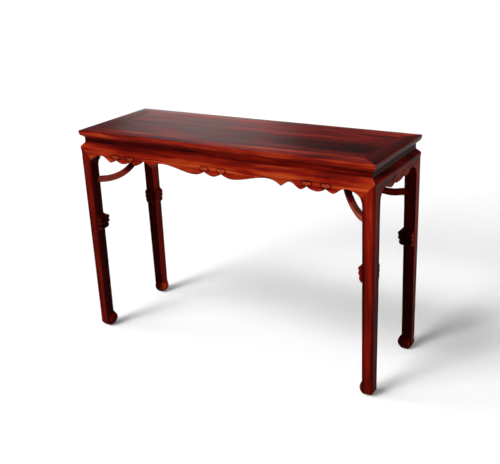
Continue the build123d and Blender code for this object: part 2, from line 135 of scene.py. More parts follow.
class ApronSizes(bpy.types.PropertyGroup):
    shoulder_rise: size("Shoulder rise", 0.016, "Height of the sloping shoulder under the waist")
    shoulder_round: size("Shoulder round", 0.005, "How far the shoulder's crease is rounded")
    lobe_drop: size("Lobe drop", 0.087, "Drop of the lobes below the top frame")
    pendant_drop: size("Pendant drop", 0.086, "Drop of the middle pendant")
    arch_drop: size("Arch drop", 0.0645, "Drop of the long arches")
    peak_drop: size("Peak drop", 0.066, "Drop of the crowns beside the legs and the points")
    valley_drop: size("Valley drop", 0.085, "Drop of the two points")
    cusp_drop: size("Cusp drop", 0.075, "Drop of the notches between lobes")
    centre_cusp_drop: size("Centre cusp drop", 0.073, "Drop of the notches beside the pendant")
    cusp_slope: number("Cusp slope", 0.62, "Slope of the lobes at a notch")
    valley_slope: number("Point slope", 0.85, "Slope of the edge at a point")
    centre_cusp_x: size("Centre cusp", 0.036, "Middle of the apron to the notch beside the pendant")
    centre_lobe_x: size("Centre lobe", 0.080, "Middle of the apron to the lobe beside the pendant")
    arch_share: share("Arch crown", 0.72, "Where an arch is highest between its lobe and the point")
    valley_from_end: size("Point", 0.344, "End of the apron to the point")
    peak_from_end: size("Crown by the point", 0.308, "End of the apron to the crown beside the point")
    lobe_three_from_end: size("Third lobe", 0.269, "End of the apron to the third lobe")
    cusp_two_from_end: size("Second cusp", 0.2455, "End of the apron to the second notch")
    lobe_two_from_end: size("Second lobe", 0.209, "End of the apron to the second lobe")
    cusp_one_from_end: size("First cusp", 0.175, "End of the apron to the first notch")
    lobe_one_from_end: size("First lobe", 0.149, "End of the apron to the first lobe")
    end_arch_from_end: size("Crown by the leg", 0.109, "End of the apron to the crown beside the leg")
    side_centre_drop: size("Side centre drop", 0.0855, "Drop of a side apron's middle lobe")
    side_cusp_drop: size("Side cusp drop", 0.0775, "Drop of a side apron's notches")
    side_cusp_y: size("Side cusp", 0.041, "Middle of a side apron to its notch")
    side_lobe_y: size("Side lobe", 0.068, "Middle of a side apron to its outer lobe")
    side_lobe_drop: size("Side lobe drop", 0.086, "Drop of a side apron's outer lobes")
    side_arch_drop: size("Side arch drop", 0.070, "Drop of a side apron's crowns")
    side_arch_share: share("Side arch crown", 0.55, "Where a side arch is highest between lobe and leg")


class LegSizes(bpy.types.PropertyGroup):
    width: size("Width", 0.045, "Width of the leg at the top")
    ankle_width: size("Ankle width", 0.040, "Width of the leg above the hoof")
    ankle_height: size("Ankle height", 0.060, "Height of the hoof")
    corner_round: size("Corner round", 0.0035, "Radius of the leg's outer edge")
    ear_reach: size("Ear reach", 0.0075, "How far the ear stands out under the apron")
    ear_height: size("Ear height", 0.0405, "Height of the ear")
    arch_lean: angle("Arch lean", radians(58.0), "Slope of the arch where it crosses the mitre")
    foot_round_width: size("Foot round width", 0.020, "How far the foot's outer edge curves in")
    foot_round_height: size("Foot round height", 0.024, "Height of the foot's outer curve")
    foot_pad: size("Foot pad", 0.015, "Width of the flat under the foot")
    hoof_reach: size("Hoof reach", 0.013, "How far the hoof stands out inwards")
    hoof_tip_height: size("Hoof tip height", 0.031, "Height at which the hoof stands out most")
    hoof_lean: angle("Hoof lean", radians(53.0), "Slope of the hoof's top where it meets the leg")
    ornament_drop: size("Ornament drop", 0.279, "Drop of the ornament's top below the shoulder")
    brow_height: size("Brow height", 0.016, "Height of the slope above the lobes")
    brow_reach: size("Brow reach", 0.015, "How far the slope's foot stands out")
    brow_lean: angle("Brow lean", radians(35.0), "Slope of the brow at its foot")
    first_lobe: size("First lobe", 0.014, "Height of the upper lobe")
    first_swell: size("First swell", 0.0025, "Swell of the upper lobe")
    first_notch: size("First notch", 0.013, "How far the first notch stands out")
    second_lobe: size("Second lobe", 0.018, "Height of the middle lobe")
    second_swell: size("Second swell", 0.004, "Swell of the middle lobe")
    second_notch: size("Second notch", 0.011, "How far the second notch stands out")
    third_lobe: size("Third lobe", 0.024, "Height of the lower lobe")
    third_swell: size("Third swell", 0.007, "Swell of the lower lobe")


class CarvingSizes(bpy.types.PropertyGroup):
    bead_width: size("Bead width", 0.0042, "Width of the raised bead along the lower edges")
    bead_rise: size("Bead rise", 0.0013, "How far the ground lies below the bead")
    curl_radius: size("Curl radius", 0.0076, "Radius of the curls over the notches")
    curl_lift: size("Curl lift", 0.0105, "Height of a curl's middle above its notch")
    curl_width: size("Curl width", 0.0031, "Width of a curl's raised line")
    # The dark line along the lower edges is painted shade.
    edge_shade: size("Edge shade", 0.0034, "Width of the dark line that dust draws along the lower edges")
    nose: size("Nose", 0.0040, "How far an ornament's lobes round off towards the outer face")
    scroll_depth: size("Scroll depth", 0.0014, "Depth of the grooves cut into the lobes")
    scroll_width: size("Scroll width", 0.0013, "Width of the grooves cut into the lobes")


class BraceSizes(bpy.types.PropertyGroup):
    width: size("Width", 0.021, "Width of the curved brace")
    height: size("Height", 0.024, "Height of the curved brace")
    corner: size("Corner", 0.0055, "Radius of its long edges")
    drop: size("Drop", 0.178, "Drop of its root below the top frame")
    lead: size("Lead", 0.020, "Level run at the leg")
    lower_radius: size("Lower radius", 0.150, "Radius of the lower bend")
    straight: size("Straight", 0.040, "Straight run between the bends")
    upper_radius: size("Upper radius", 0.045, "Radius of the upper bend")
    pad: size("Pad", 0.016, "Level run under the batten")
    end_space: size("End space", 0.046, "Space between the ends of opposite braces")


class Rosewood(bpy.types.PropertyGroup):
    dark: colour("Dark streaks", (0.010, 0.0010, 0.0009, 1.0), "Colour of the darkest streaks")
    maroon: colour("Maroon", (0.080, 0.0030, 0.0019, 1.0), "Colour of the deep heartwood")
    heart: colour("Heartwood", (0.250, 0.0100, 0.0036, 1.0), "Colour of the plain heartwood")
    bright: colour("Bright streaks", (0.560, 0.0740, 0.0150, 1.0), "Colour of the brightest streaks")
    # The rubbed colour is also the colour of painted highlights on the curls, the lobes' crowns, the hoof and
    # the braces' roots.
    rubbed: colour("Rubbed", (0.600, 0.1700, 0.1100, 1.0), "Colour of proud edges that hands have rubbed")
    frame_tone: share("Top frame", 0.52, "How bright the top frame's wood is")
    # Painted shade: the end rails and end aprons are darker copies of their wood, for the shaded ends.
    shaded_end_rail_tone: share("End rails", 0.24, "How bright the end rails' wood is")
    front_board_tone: share("Front board", 0.27, "How bright the front board's wood is")
    rear_board_tone: share("Rear board", 0.40, "How bright the rear board's wood is")
    apron_tone: share("Aprons", 0.71, "How bright the aprons' wood is")
    shaded_end_apron_tone: share("End aprons", 0.46, "How bright the end aprons' wood is")
    leg_tone: share("Legs", 0.58, "How bright the legs' wood is")
    brace_tone: share("Braces", 0.50, "How bright the braces' wood is")
    # Painted shade: the waist strips are dark for the shade in their recess under the top, and the drift is
    # painted light.
    shaded_waist_tone: share("Waist", 0.22, "How bright the long waist strips' wood is")
    waist_drift: share("Waist drift", 0.20, "How much brighter the long waist strips get to the right")
    shaded_end_waist_tone: share("End waist", 0.10, "How bright the end waist strips' wood is")
    joinery_tone: share("Joinery", 0.22, "How bright the wood under the top is")
    roughness: share("Roughness", 0.34, "Roughness of the rubbed finish")
    top_gloss: share("Top gloss", 0.036, "Specular level of the polished top")
    front_rail_gloss: share("Front rail gloss", 0.022, "Specular level of the front rail")
    gloss: share("Gloss", 0.014, "Specular level of the waxed wood below the top")


class Studio(bpy.types.PropertyGroup):
    camera_x: coordinate("Camera X", 1.54775, "The camera's place along the table's length")
    camera_y: coordinate("Camera Y", -2.45399, "The camera's place along the table's depth")
    camera_z: coordinate("Camera Z", 1.56446, "The camera's height above the floor")
    yaw: angle("Yaw", radians(-31.9859), "Turn of the view to the side, from along the depth")
    pitch: angle("Pitch", radians(20.9912), "How far the view looks down")
    roll: angle("Roll", radians(-2.5641), "Roll of the view")
    lens: number("Lens", 57.331, "Focal length in millimetres")
    top_strength: number("Top light", 2.4, "Strength of the light from above")
    front_strength: number("Front light", 2.9, "Strength of the low light from the front")
    right_strength: number("Right light", 0.45, "Strength of the light from the right")
    inner_strength: number("Inner light", 2.1, "Strength of the light on the rear legs' right faces")
    rear_strength: number("Rear light", 1.8, "Strength of the light from the rear left")
    floor_high: number("Floor high", 1.5, "Strength of the floor's high light")
    floor_front: number("Floor front", 2.9, "Strength of the floor's low front light")
    floor_left: number("Floor left", 1.0, "Strength of the floor's low left light")
    softness: angle("Softness", radians(34.0), "How wide each light looks from the table")
    high_softness: angle("High softness", radians(21.0), "How wide the high light looks from the floor")
    low_softness: angle("Low softness", radians(25.0), "How wide the low lights look from the floor")
    back_power: power("Back light", 13.0, "Power of the soft back light")
    fill: share("Fill", 0.10, "Strength of the light from all round")
    floor: colour("Floor", (0.95, 0.95, 0.95, 1.0), "Colour of the pale floor")
    floor_bounce: colour("Floor bounce", (0.06, 0.06, 0.06, 1.0), "Colour that the floor throws back")
    floor_glow: share("Floor glow", 0.14, "Share of plain white in what is seen of the floor")


# ---------------------------------------------------------------- curves and slopes

# How far apart the points of a curve are, and the least distance that counts on a carved surface.
curve_step = 0.0004


def smooth(low, high, values):
    """0 below low, 1 above high, and an even rise between them. The other way round if low is above high."""
    part = np.clip((values - low) / (high - low), 0.0, 1.0)
    return part * part * (3.0 - 2.0 * part)


def ridge(middle, width, values):
    """1 at the middle, falling away softly on both sides."""
    return np.exp(-(((values - middle) / width) ** 2))


def cubic(start, leave, arrive, end):
    """Points along a cubic curve, about a step apart."""
    points = [np.array(point, float) for point in (start, leave, arrive, end)]
    count = 2 + int(hypot(*(points[3] - points[0])) / curve_step)
    t = np.linspace(0.0, 1.0, count)[:, None]
    u = 1.0 - t
    return u**3 * points[0] + 3 * u * u * t * points[1] + 3 * u * t * t * points[2] + t**3 * points[3]


def ease(start, end, start_slope, end_slope):
    """A cubic from one point to another that leaves and arrives at the given slopes."""
    third = (end[0] - start[0]) / 3
    leave = (start[0] + third, start[1] + start_slope * third)
    arrive = (end[0] - third, end[1] - end_slope * third)
    return cubic(start, leave, arrive, end)


def bend(start, start_angle, end, end_angle, fullness=0.35):
    """A free curve that leaves and arrives in the given directions."""
    handle = fullness * hypot(end[0] - start[0], end[1] - start[1])
    leave = (start[0] + handle * cos(start_angle), start[1] + handle * sin(start_angle))
    arrive = (end[0] - handle * cos(end_angle), end[1] - handle * sin(end_angle))
    return cubic(start, leave, arrive, end)


def swell(start, end, rise, count=24):
    """An arc from one point up to another that swells out to the right of the line between them."""
    start, end = np.array(start), np.array(end)
    chord = end - start
    length = hypot(*chord)
    radius = (length**2 / 4 + rise**2) / (2 * rise)
    half_turn = 2 * atan(2 * rise / length)
    outwards = np.array((chord[1], -chord[0])) / length
    centre = (start + end) / 2 - outwards * (radius - rise)
    middle = atan2(outwards[1], outwards[0])
    turns = middle + np.linspace(-half_turn, half_turn, count)
    return centre + radius * np.column_stack((np.cos(turns), np.sin(turns)))


def spaced(places, gap):
    """Sorted places without those that lie closer together than the gap."""
    kept = []
    for place in np.sort(places):
        if not kept or place - kept[-1] >= gap:
            kept.append(place)
    return np.array(kept)


def near_tree(path):
    """A search tree over the points of a flat path."""
    tree = KDTree(len(path))
    for index, (x, y) in enumerate(path):
        tree.insert((x, y, 0.0), index)
    tree.balance()
    return tree


def distances(tree, x, y):
    """How far each of a grid of flat points lies from a path."""
    x, y = np.broadcast_arrays(x, y)
    flat = [tree.find((u, v, 0.0))[2] for u, v in zip(x.flat, y.flat)]
    return np.array(flat).reshape(x.shape)


def half_round(distance, width):
    """Height of a half-round line, from 1 on its middle to 0 at its edges."""
    return np.sqrt(np.clip(1.0 - (2.0 * distance / width) ** 2, 0.0, 1.0))


def bead_height(from_edge, width):
    """Height of a half-round bead that runs along an edge, from 1 on its middle to 0 beside it."""
    return half_round(from_edge - width / 2, width) * (from_edge < width)


def rounded_off(depth, nose):
    """Height of a quarter-round nose behind a face, from 0 at the face to 1 at the nose's depth."""
    return np.sqrt(np.clip(1.0 - np.clip(1.0 - depth / nose, 0.0, 1.0) ** 2, 0.0, 1.0))


def added(name, content, matrix=Matrix()):
    """A new object in the scene, in its place, that holds a mesh, a lamp or a camera."""
    holder = bpy.data.objects.new(name, content)
    holder.matrix_world = matrix
    bpy.context.scene.collection.objects.link(holder)
    return holder


# ---------------------------------------------------------------- pieces in the making

# Points closer than the weld gap become one, and edges shorter than a speck go.
weld_gap = 0.00002
speck = 0.00001

# Edges that turn by more degrees than this stay sharp.
crease_angle = 35.0


class Work:
    """A piece in the making: its points, its faces, where each point lay in its log, and its wear and
    shading.

    Wear and shading is about 1 where hands have rubbed the wood bright or a painted highlight lies, and about
    -1 where painted shade darkens it.
    """

    def __init__(self):
        self.points = []
        self.faces = []
        self.log = []
        self.wear = []
        self.count = 0

    def loft(self, loops, log, wear):
        """Skins closed loops of points, one after the other, and closes both ends."""
        rings, around = loops.shape[:2]
        index = np.arange(rings * around).reshape(rings, around) + self.count
        after = np.roll(index, -1, axis=1)
        quads = np.stack((index[:-1], after[:-1], after[1:], index[1:]), axis=-1)
        self.faces += quads.reshape(-1, 4).tolist()
        self.faces += [index[0, ::-1].tolist(), index[-1].tolist()]
        self.points.append(loops.reshape(-1, 3))
        self.log.append(log.reshape(-1, 3))
        self.wear.append(np.broadcast_to(wear, (rings, around)).reshape(-1))
        self.count += rings * around
        return self

    def placed(self, place):
        """The same piece with every point moved by a function of its three coordinates."""
        other = Work()
        other.faces = self.faces
        other.points = [np.column_stack(place(*points.T)) for points in self.points]
        other.log = self.log
        other.wear = self.wear
        return other

    def shifted_log(self, shift):
        """The piece, cut from another place in the log."""
        self.log = [log + np.array(shift) for log in self.log]
        return self

    def brighter_or_darker(self, amount):
        """The piece, brighter (+) or darker (-) all over."""
        self.wear = [wear + amount for wear in self.wear]
        return self

    def finish(self, name, node, slot, material):
        """Makes the object: welds it, turns its faces outwards, and puts it in its node's place."""
        mesh = bpy.data.meshes.new(name)
        mesh.from_pydata(np.vstack(self.points).tolist(), [], self.faces)
        attribute = mesh.attributes.new("log_place", "FLOAT_VECTOR", "POINT")
        attribute.data.foreach_set("vector", np.vstack(self.log).astype(np.float32).ravel())
        # wear holds rubbed wear together with painted highlights and painted shade
        attribute = mesh.attributes.new("wear", "FLOAT", "POINT")
        attribute.data.foreach_set("value", np.concatenate(self.wear).astype(np.float32))
        work = bmesh.new()
        work.from_mesh(mesh)
        bmesh.ops.remove_doubles(work, verts=work.verts, dist=weld_gap)
        bmesh.ops.dissolve_degenerate(work, edges=work.edges, dist=speck)
        bmesh.ops.recalc_face_normals(work, faces=work.faces)
        work.to_mesh(mesh)
        work.free()
        mesh.shade_smooth()
        mesh.set_sharp_from_angle(angle=radians(crease_angle))
        mesh.materials.append(material)
        piece = added(name, mesh)
        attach(piece, "root")
        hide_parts(node)


# Where a corner piece goes: which side of the middle each corner lies on, along X and along Y.
corners = {
    "front_left": (-1, -1),
    "front_right": (1, -1),
    "rear_left": (-1, 1),
    "rear_right": (1, 1),
}

# Where a run goes: along each side of the table, seen from outside from left to right.
runs = {
    "front": lambda s, inset, z: (s - half_length, inset - half_depth, z),
    "right": lambda s, inset, z: (half_length - inset, s - half_depth, z),
    "rear": lambda s, inset, z: (half_length - s, half_depth - inset, z),
    "left": lambda s, inset, z: (inset - half_length, half_depth - s, z),
}


def at_corner(name):
    """A function that takes corner coordinates to their place at a corner."""
    x_side, y_side = corners[name]
    return lambda a, b, z: (x_side * (half_length - a), y_side * (half_depth - b), z)


# ---------------------------------------------------------------- rosewood

class Wire:
    """A shader socket that takes part in sums. Each sum adds its Math node."""

    def __init__(self, bench, socket):
        self.bench = bench
        self.socket = socket

    def math(self, operation, *terms):
        return self.bench.node("ShaderNodeMath", {"operation": operation}, dict(enumerate(terms)))

    def __add__(self, other):
        return self.math("ADD", self, other)

    def __radd__(self, other):
        return self.math("ADD", other, self)

    def __sub__(self, other):
        return self.math("SUBTRACT", self, other)

    def __rsub__(self, other):
        return self.math("SUBTRACT", other, self)

    def __mul__(self, other):
        return self.math("MULTIPLY", self, other)

    def __rmul__(self, other):
        return self.math("MULTIPLY", other, self)

    def root(self):
        return self.math("SQRT", self)

    def held(self):
        """The same value, held between 0 and 1."""
        return self.math("MAXIMUM", self.math("MINIMUM", self, 1.0), 0.0)

    def between(self, low, high):
        """0 at low, 1 at high, with a soft start and end."""
        values = {0: self, 1: low, 2: high, 3: 0.0, 4: 1.0}
        return self.bench.node("ShaderNodeMapRange", {"interpolation_type": "SMOOTHSTEP"}, values)


class Bench:
    """A node tree that is worked on one node at a time."""

    def __init__(self, tree):
        self.tree = tree
        self.tree.nodes.clear()

    def node(self, kind, settings=None, values=None, output=0):
        """Adds a node: first its settings, then the values or links of its sockets."""
        made = self.tree.nodes.new(kind)
        for key, value in (settings or {}).items():
            if key == "stops":
                self.set_stops(made.color_ramp, value)
            else:
                setattr(made, key, value)
        for socket, value in (values or {}).items():
            if isinstance(value, Wire):
                self.tree.links.new(value.socket, made.inputs[socket])
            else:
                made.inputs[socket].default_value = value
        return Wire(self, made.outputs[output]) if len(made.outputs) else made

    def set_stops(self, ramp, stops):
        while len(ramp.elements) < len(stops):
            ramp.elements.new(1.0)
        for element, (position, stop_colour) in zip(ramp.elements, stops):
            element.position = position
            element.color = stop_colour

    def vector(self, x, y, z):
        return self.node("ShaderNodeCombineXYZ", None, {0: x, 1: y, 2: z})

    def parts(self, vector):
        """The three numbers of a vector."""
        split = self.node("ShaderNodeSeparateXYZ", None, {0: vector}).socket.node
        return [Wire(self, socket) for socket in split.outputs]

    def noise(self, vector, detail, roughness=0.5):
        values = {"Vector": vector, "Scale": 1.0, "Detail": detail, "Roughness": roughness}
        return self.node("ShaderNodeTexNoise", None, values)

    def mixed(self, factor, first, second):
        """Two colours mixed: the first where the factor is 0, the second where it is 1."""
        return self.node("ShaderNodeMix", {"data_type": "RGBA"}, {0: factor, 6: first, 7: second}, 2)


def new_material(name):
    """A fresh material and the bench for its nodes."""
    material = bpy.data.materials.new(name)
    material.use_nodes = True
    return material, Bench(material.node_tree)


def log_of_piece(bench):
    """Where each point of a made piece lay in its log."""
    return bench.node("ShaderNodeAttribute", {"attribute_name": "log_place"}, None, 1)


def log_along(axis):
    """Where each point of a plain piece lay in its log, with the grain along the given axis."""
    heart_aside, heart_below = 0.03, 0.02

    def place(bench):
        x, y, z = bench.parts(bench.node("ShaderNodeTexCoord", None, None, 3))
        along, across, deep = {"x": (x, y, z), "y": (y, z, x), "z": (z, x, y)}[axis]
        return bench.vector(along, across + heart_aside, deep + heart_below)

    return place


def rosewood(name, tone, gloss, log=log_of_piece, figured=1.0, drift=0.0):
    """Rubbed rosewood: dark and bright streaks along the grain, pores, wear on what hands reach, painted
    highlights and shade.

    Figured says how strong the streaks are, and drift how much brighter the wood gets along the grain, as
    painted light.
    """
    wood = bpy.context.scene.altar_table_rosewood
    material, bench = new_material(name)
    along, across, deep = bench.parts(log(bench))

    def clouds(lengthwise, crosswise, detail):
        """Soft patches, so many to a metre along the grain and across it."""
        scaled = bench.vector(along * lengthwise, across * crosswise, deep * crosswise)
        return bench.noise(scaled, detail)

    def streaks(lengthwise, crosswise, seed, detail, roughness=0.5):
        """Streaks, so many to a metre along the grain and from ring to ring."""
        return bench.noise(bench.vector(along * lengthwise, ring * crosswise, seed), detail, roughness)

    sway = clouds(2.6, 6.0, 2.0)
    ring = (across * across + deep * deep).root() + (sway - 0.5) * 0.030
    broad = streaks(1.3, 40.0, 3.1, 2.0)
    narrow = streaks(3.4, 120.0, 7.7, 3.0, 0.55)
    fine = streaks(5.0, 420.0, 1.9, 4.0, 0.6)
    cloud = clouds(6.0, 24.0, 3.0)
    pores = clouds(55.0, 1300.0, 1.0).between(0.60, 0.72)
    worn_and_shaded = bench.node("ShaderNodeAttribute", {"attribute_name": "wear"}, None, 2)

    # brighter and darker wood, then dark lines and pores, and then rubbed wear, painted highlights and
    # painted shade:
    # above a wear of 0.3 the colour turns to the rubbed and highlight colour
    figure = (broad - 0.5) * 0.9 + (narrow - 0.5) * 1.1 + (fine - 0.5) * 0.5 + (cloud - 0.5) * 0.8
    figure = figure * figured + tone + worn_and_shaded * 0.40 + along.between(-0.25, 0.10) * drift
    lines = streaks(1.2, 95.0, 12.3, 4.0, 0.6).between(0.55, 0.68)
    stops = [(0.0, wood.dark), (0.33, wood.maroon), (0.62, wood.heart), (1.0, wood.bright)]
    shade = bench.node("ShaderNodeValToRGB", {"stops": stops}, {0: figure.held()})
    shade = bench.mixed(lines * 0.50, shade, wood.dark)
    shade = bench.mixed(pores * 0.35, shade, wood.dark)
    shade = bench.mixed(((worn_and_shaded - 0.3) * 0.6).held(), shade, wood.rubbed)
    # below 0 painted shade darkens the colour towards the dark streaks' colour
    shade = bench.mixed((worn_and_shaded * -0.50).held(), shade, wood.dark)

    rough = wood.roughness + (cloud - 0.5) * 0.16 + pores * 0.14 - worn_and_shaded * 0.15
    relief = {"Strength": 0.35, "Distance": 0.00025, "Height": fine * 0.35 - pores * 0.6}
    bump = bench.node("ShaderNodeBump", None, relief)
    finish = {"Base Color": shade, "Roughness": rough.held(), "Normal": bump, "Specular IOR Level": gloss}
    surface = bench.node("ShaderNodeBsdfPrincipled", None, finish)
    bench.node("ShaderNodeOutputMaterial", None, {0: surface})
    return material


# ---------------------------------------------------------------- top frame and panel

def rail_section(top):
    """The rail's section as points of (inset, height), with the small bevel on its inner edge."""
    fascia_bottom = table_height - top.fascia_height
    bead_top = frame_bottom + 2 * top.bead_radius
    bead_middle = top.ovolo_inset + top.bead_radius
    quarter = np.linspace(0.0, pi / 2, 9)
    half = np.linspace(0.0, pi, 11)[1:-1]
    upper_edge = [
        (top.edge_round * (1 - sin(t)), table_height - top.edge_round * (1 - cos(t))) for t in quarter[::2]
    ]
    ovolo = [
        (top.ovolo_inset * (1 - cos(t)), fascia_bottom - (fascia_bottom - bead_top) * sin(t)) for t in quarter
    ]
    bead = [
        (top.ovolo_inset + top.bead_radius * (1 - sin(t)), frame_bottom + top.bead_radius * (1 + cos(t)))
        for t in half
    ]
    points = [
        (rail_width, table_height - top.easing),
        (rail_width - top.easing, table_height),
        (rail_width / 2, table_height),
        *upper_edge,
        *ovolo,
        (bead_middle, bead_top),
        *bead,
        (bead_middle, frame_bottom),
        (rail_width, frame_bottom),
    ]
    return np.array(points)


def mitred_rail(top, run):
    """A rail of the top frame along a run, its ends cut to the mitre and just eased."""
    inset, height = rail_section(top).T
    gap = top.panel_gap / 4
    near = inset + gap + top.easing
    eased_height = np.clip(height, frame_bottom + top.easing, table_height - top.easing)
    eased_inset = np.clip(inset, top.easing, rail_width - top.easing)
    loops = [np.column_stack((eased_inset + gap, eased_inset, eased_height))]
    for step in np.linspace(0.0, 1.0, 13):
        loops.append(np.column_stack((near + (run - 2 * near) * step, inset, height)))
    loops.append(np.column_stack((run - eased_inset - gap, eased_inset, eased_height)))
    loops = np.array(loops)

    # the moulded edge is brighter, partly rubbed by hands and partly painted light, and painted shade darkens
    # the fillet over the bead
    edge_rub_and_light, fillet_shade, fillet_width = 0.32, 1.1, 0.0012
    moulded = (inset < top.ovolo_inset + 2 * top.bead_radius) * (height < table_height - top.edge_round / 2)
    fillet = ridge(2.2 * top.bead_radius, fillet_width, height - frame_bottom)
    heart_aside, heart_below = 0.045, 0.05
    log = loops + np.array((0.0, heart_aside, -table_height - heart_below))
    return Work().loft(loops, log, moulded * (edge_rub_and_light - fillet_shade * fillet))


def eased_board(top, low, high):
    """A flat board along X between two corners, with every edge just eased."""
    (x0, y0, z0), (x1, y1, z1) = low, high
    easing = top.easing
    section = np.array(
        [
            (y0, z0 + easing),
            (y0, z1 - easing),
            (y0 + easing, z1),
            ((y0 + y1) / 2, z1),
            (y1 - easing, z1),
            (y1, z1 - easing),
            (y1, z0 + easing),
            (y1 - easing, z0),
            (y0 + easing, z0),
        ]
    )
    middle = section.mean(axis=0)
    small = middle + (section - middle) * (1 - 2 * easing / np.array((y1 - y0, z1 - z0)))
    rings = [(x0, small)]
    rings += [(x, section) for x in np.linspace(x0 + easing, x1 - easing, 15)]
    rings.append((x1, small))
    loops = np.array([np.column_stack((np.full(len(ring), x), ring)) for x, ring in rings])
    return Work().loft(loops, loops, 0.0)


# ---------------------------------------------------------------- lower edges, beads and curls

# A lower edge is a list of turning points: (place, height, slope before, slope after).

def level(place, drop):
    """A turning point where the edge runs level: the crown of an arch or the foot of a lobe."""
    return place, frame_bottom - drop, 0.0, 0.0


def notch(place, drop, slope):
    """A sharp turning point where the edge runs at a slope before it and at the opposite one after it."""
    return place, frame_bottom - drop, slope, -slope


def front_scallops(apron):
    """Half of a long apron's lower edge, from its middle to the crown by the leg."""
    valley = apron.valley_from_end
    lobe = half_length - apron.centre_lobe_x
    arch = lobe - apron.arch_share * (lobe - valley)
    return [
        level(half_length, apron.pendant_drop),
        notch(half_length - apron.centre_cusp_x, apron.centre_cusp_drop, -apron.cusp_slope),
        level(lobe, apron.lobe_drop),
        level(arch, apron.arch_drop),
        notch(valley, apron.valley_drop, apron.valley_slope),
        level(apron.peak_from_end, apron.peak_drop),
        level(apron.lobe_three_from_end, apron.lobe_drop),
        notch(apron.cusp_two_from_end, apron.cusp_drop, -apron.cusp_slope),
        level(apron.lobe_two_from_end, apron.lobe_drop),
        notch(apron.cusp_one_from_end, apron.cusp_drop, -apron.cusp_slope),
        level(apron.lobe_one_from_end, apron.lobe_drop),
        level(apron.end_arch_from_end, apron.peak_drop),
    ]


def side_scallops(apron, mitre_reach):
    """Half of a side apron's lower edge, from its middle to the crown by the leg."""
    lobe = half_depth - apron.side_lobe_y
    arch = lobe - apron.side_arch_share * (lobe - mitre_reach)
    return [
        level(half_depth, apron.side_centre_drop),
        notch(half_depth - apron.side_cusp_y, apron.side_cusp_drop, -apron.cusp_slope),
        level(lobe, apron.side_lobe_drop),
        level(arch, apron.side_arch_drop),
    ]


def scalloped_edge(scallops):
    """Points along the curves between an edge's turning points."""
    pairs = zip(scallops, scallops[1:])
    return np.vstack([ease(here[:2], there[:2], here[3], there[2]) for here, there in pairs])


class Corner:
    """The shape of a corner: the leg's taper, the mitre, and the edge that runs from apron to foot."""

    def __init__(self, scene):
        self.apron = scene.altar_table_apron
        self.leg = scene.altar_table_leg
        self.carving = scene.altar_table_carving
        self.shoulder = waist_bottom - self.apron.shoulder_rise
        self.crease = self.shoulder - self.apron.shoulder_round
        self.mitre_reach = self.leg.width + self.leg.ear_reach
        self.mitre_end = self.shoulder - self.mitre_reach
        self.mitre_tip = (self.mitre_reach, self.mitre_end)
        self.ear_foot = self.mitre_end - self.leg.ear_height
        self.arris = self.leg.corner_round * (1 - cos(pi / 4))

    def width(self, height):
        """Width of the tapering leg at a height."""
        part = (self.mitre_end - height) / (self.mitre_end - self.leg.ankle_height)
        return self.leg.width - (self.leg.width - self.leg.ankle_width) * np.clip(part, 0.0, 1.0)

    def arch(self, scallops):
        """The apron's arch from its crown down to the mitre."""
        return bend(scallops[-1][:2], pi, self.mitre_tip, pi + self.leg.arch_lean)

    def ear(self):
        """The ear's edge, from the mitre down into the leg's inner edge."""
        foot = (self.width(self.ear_foot), self.ear_foot)
        return bend(self.mitre_tip, pi + self.leg.arch_lean, foot, 1.5 * pi)

    def inner_edge(self):
        """The leg's inner edge on its outer face, from the ear down to the foot."""
        heights = np.arange(self.ear_foot, 0.0, -curve_step)
        return np.column_stack((self.width(heights), heights))

    def lowered(self, height):
        """How far the ground lies below the bead: nothing at the shoulder and under the foot."""
        shoulder_fade, foot_start, foot_end = 0.014, 0.010, 0.045
        top = 1.0 - smooth(self.crease - shoulder_fade, self.crease, height)
        foot = smooth(foot_start, foot_end, height)
        return self.carving.bead_rise * top * foot

    def rounded(self, place):
        """Inset of the rounded outer edge at a distance from the corner."""
        radius = self.leg.corner_round
        inside = np.clip(radius - place, 0.0, radius)
        return radius - np.sqrt(radius**2 - inside**2)


def curl(sizes, cusp, hand):
    """A raised line that rises from a notch and rolls over, away from it on the given hand."""
    last_turn, tightening, count, stem_count = -1.65 * pi, 0.80, 90, 14
    turns = np.linspace(pi, last_turn, count)
    radius = sizes.curl_radius * (1.0 - tightening * np.linspace(0.0, 1.0, count) ** 0.8)
    beside = sizes.curl_width * 0.35
    centre_x = cusp[0] + hand * (sizes.curl_radius + beside)
    centre_z = cusp[1] + sizes.curl_lift
    rolled = np.column_stack((centre_x + hand * radius * np.cos(turns), centre_z + radius * np.sin(turns)))
    stem = np.linspace((cusp[0] + hand * beside, cusp[1]), rolled[0], stem_count)
    return np.vstack((stem, rolled))


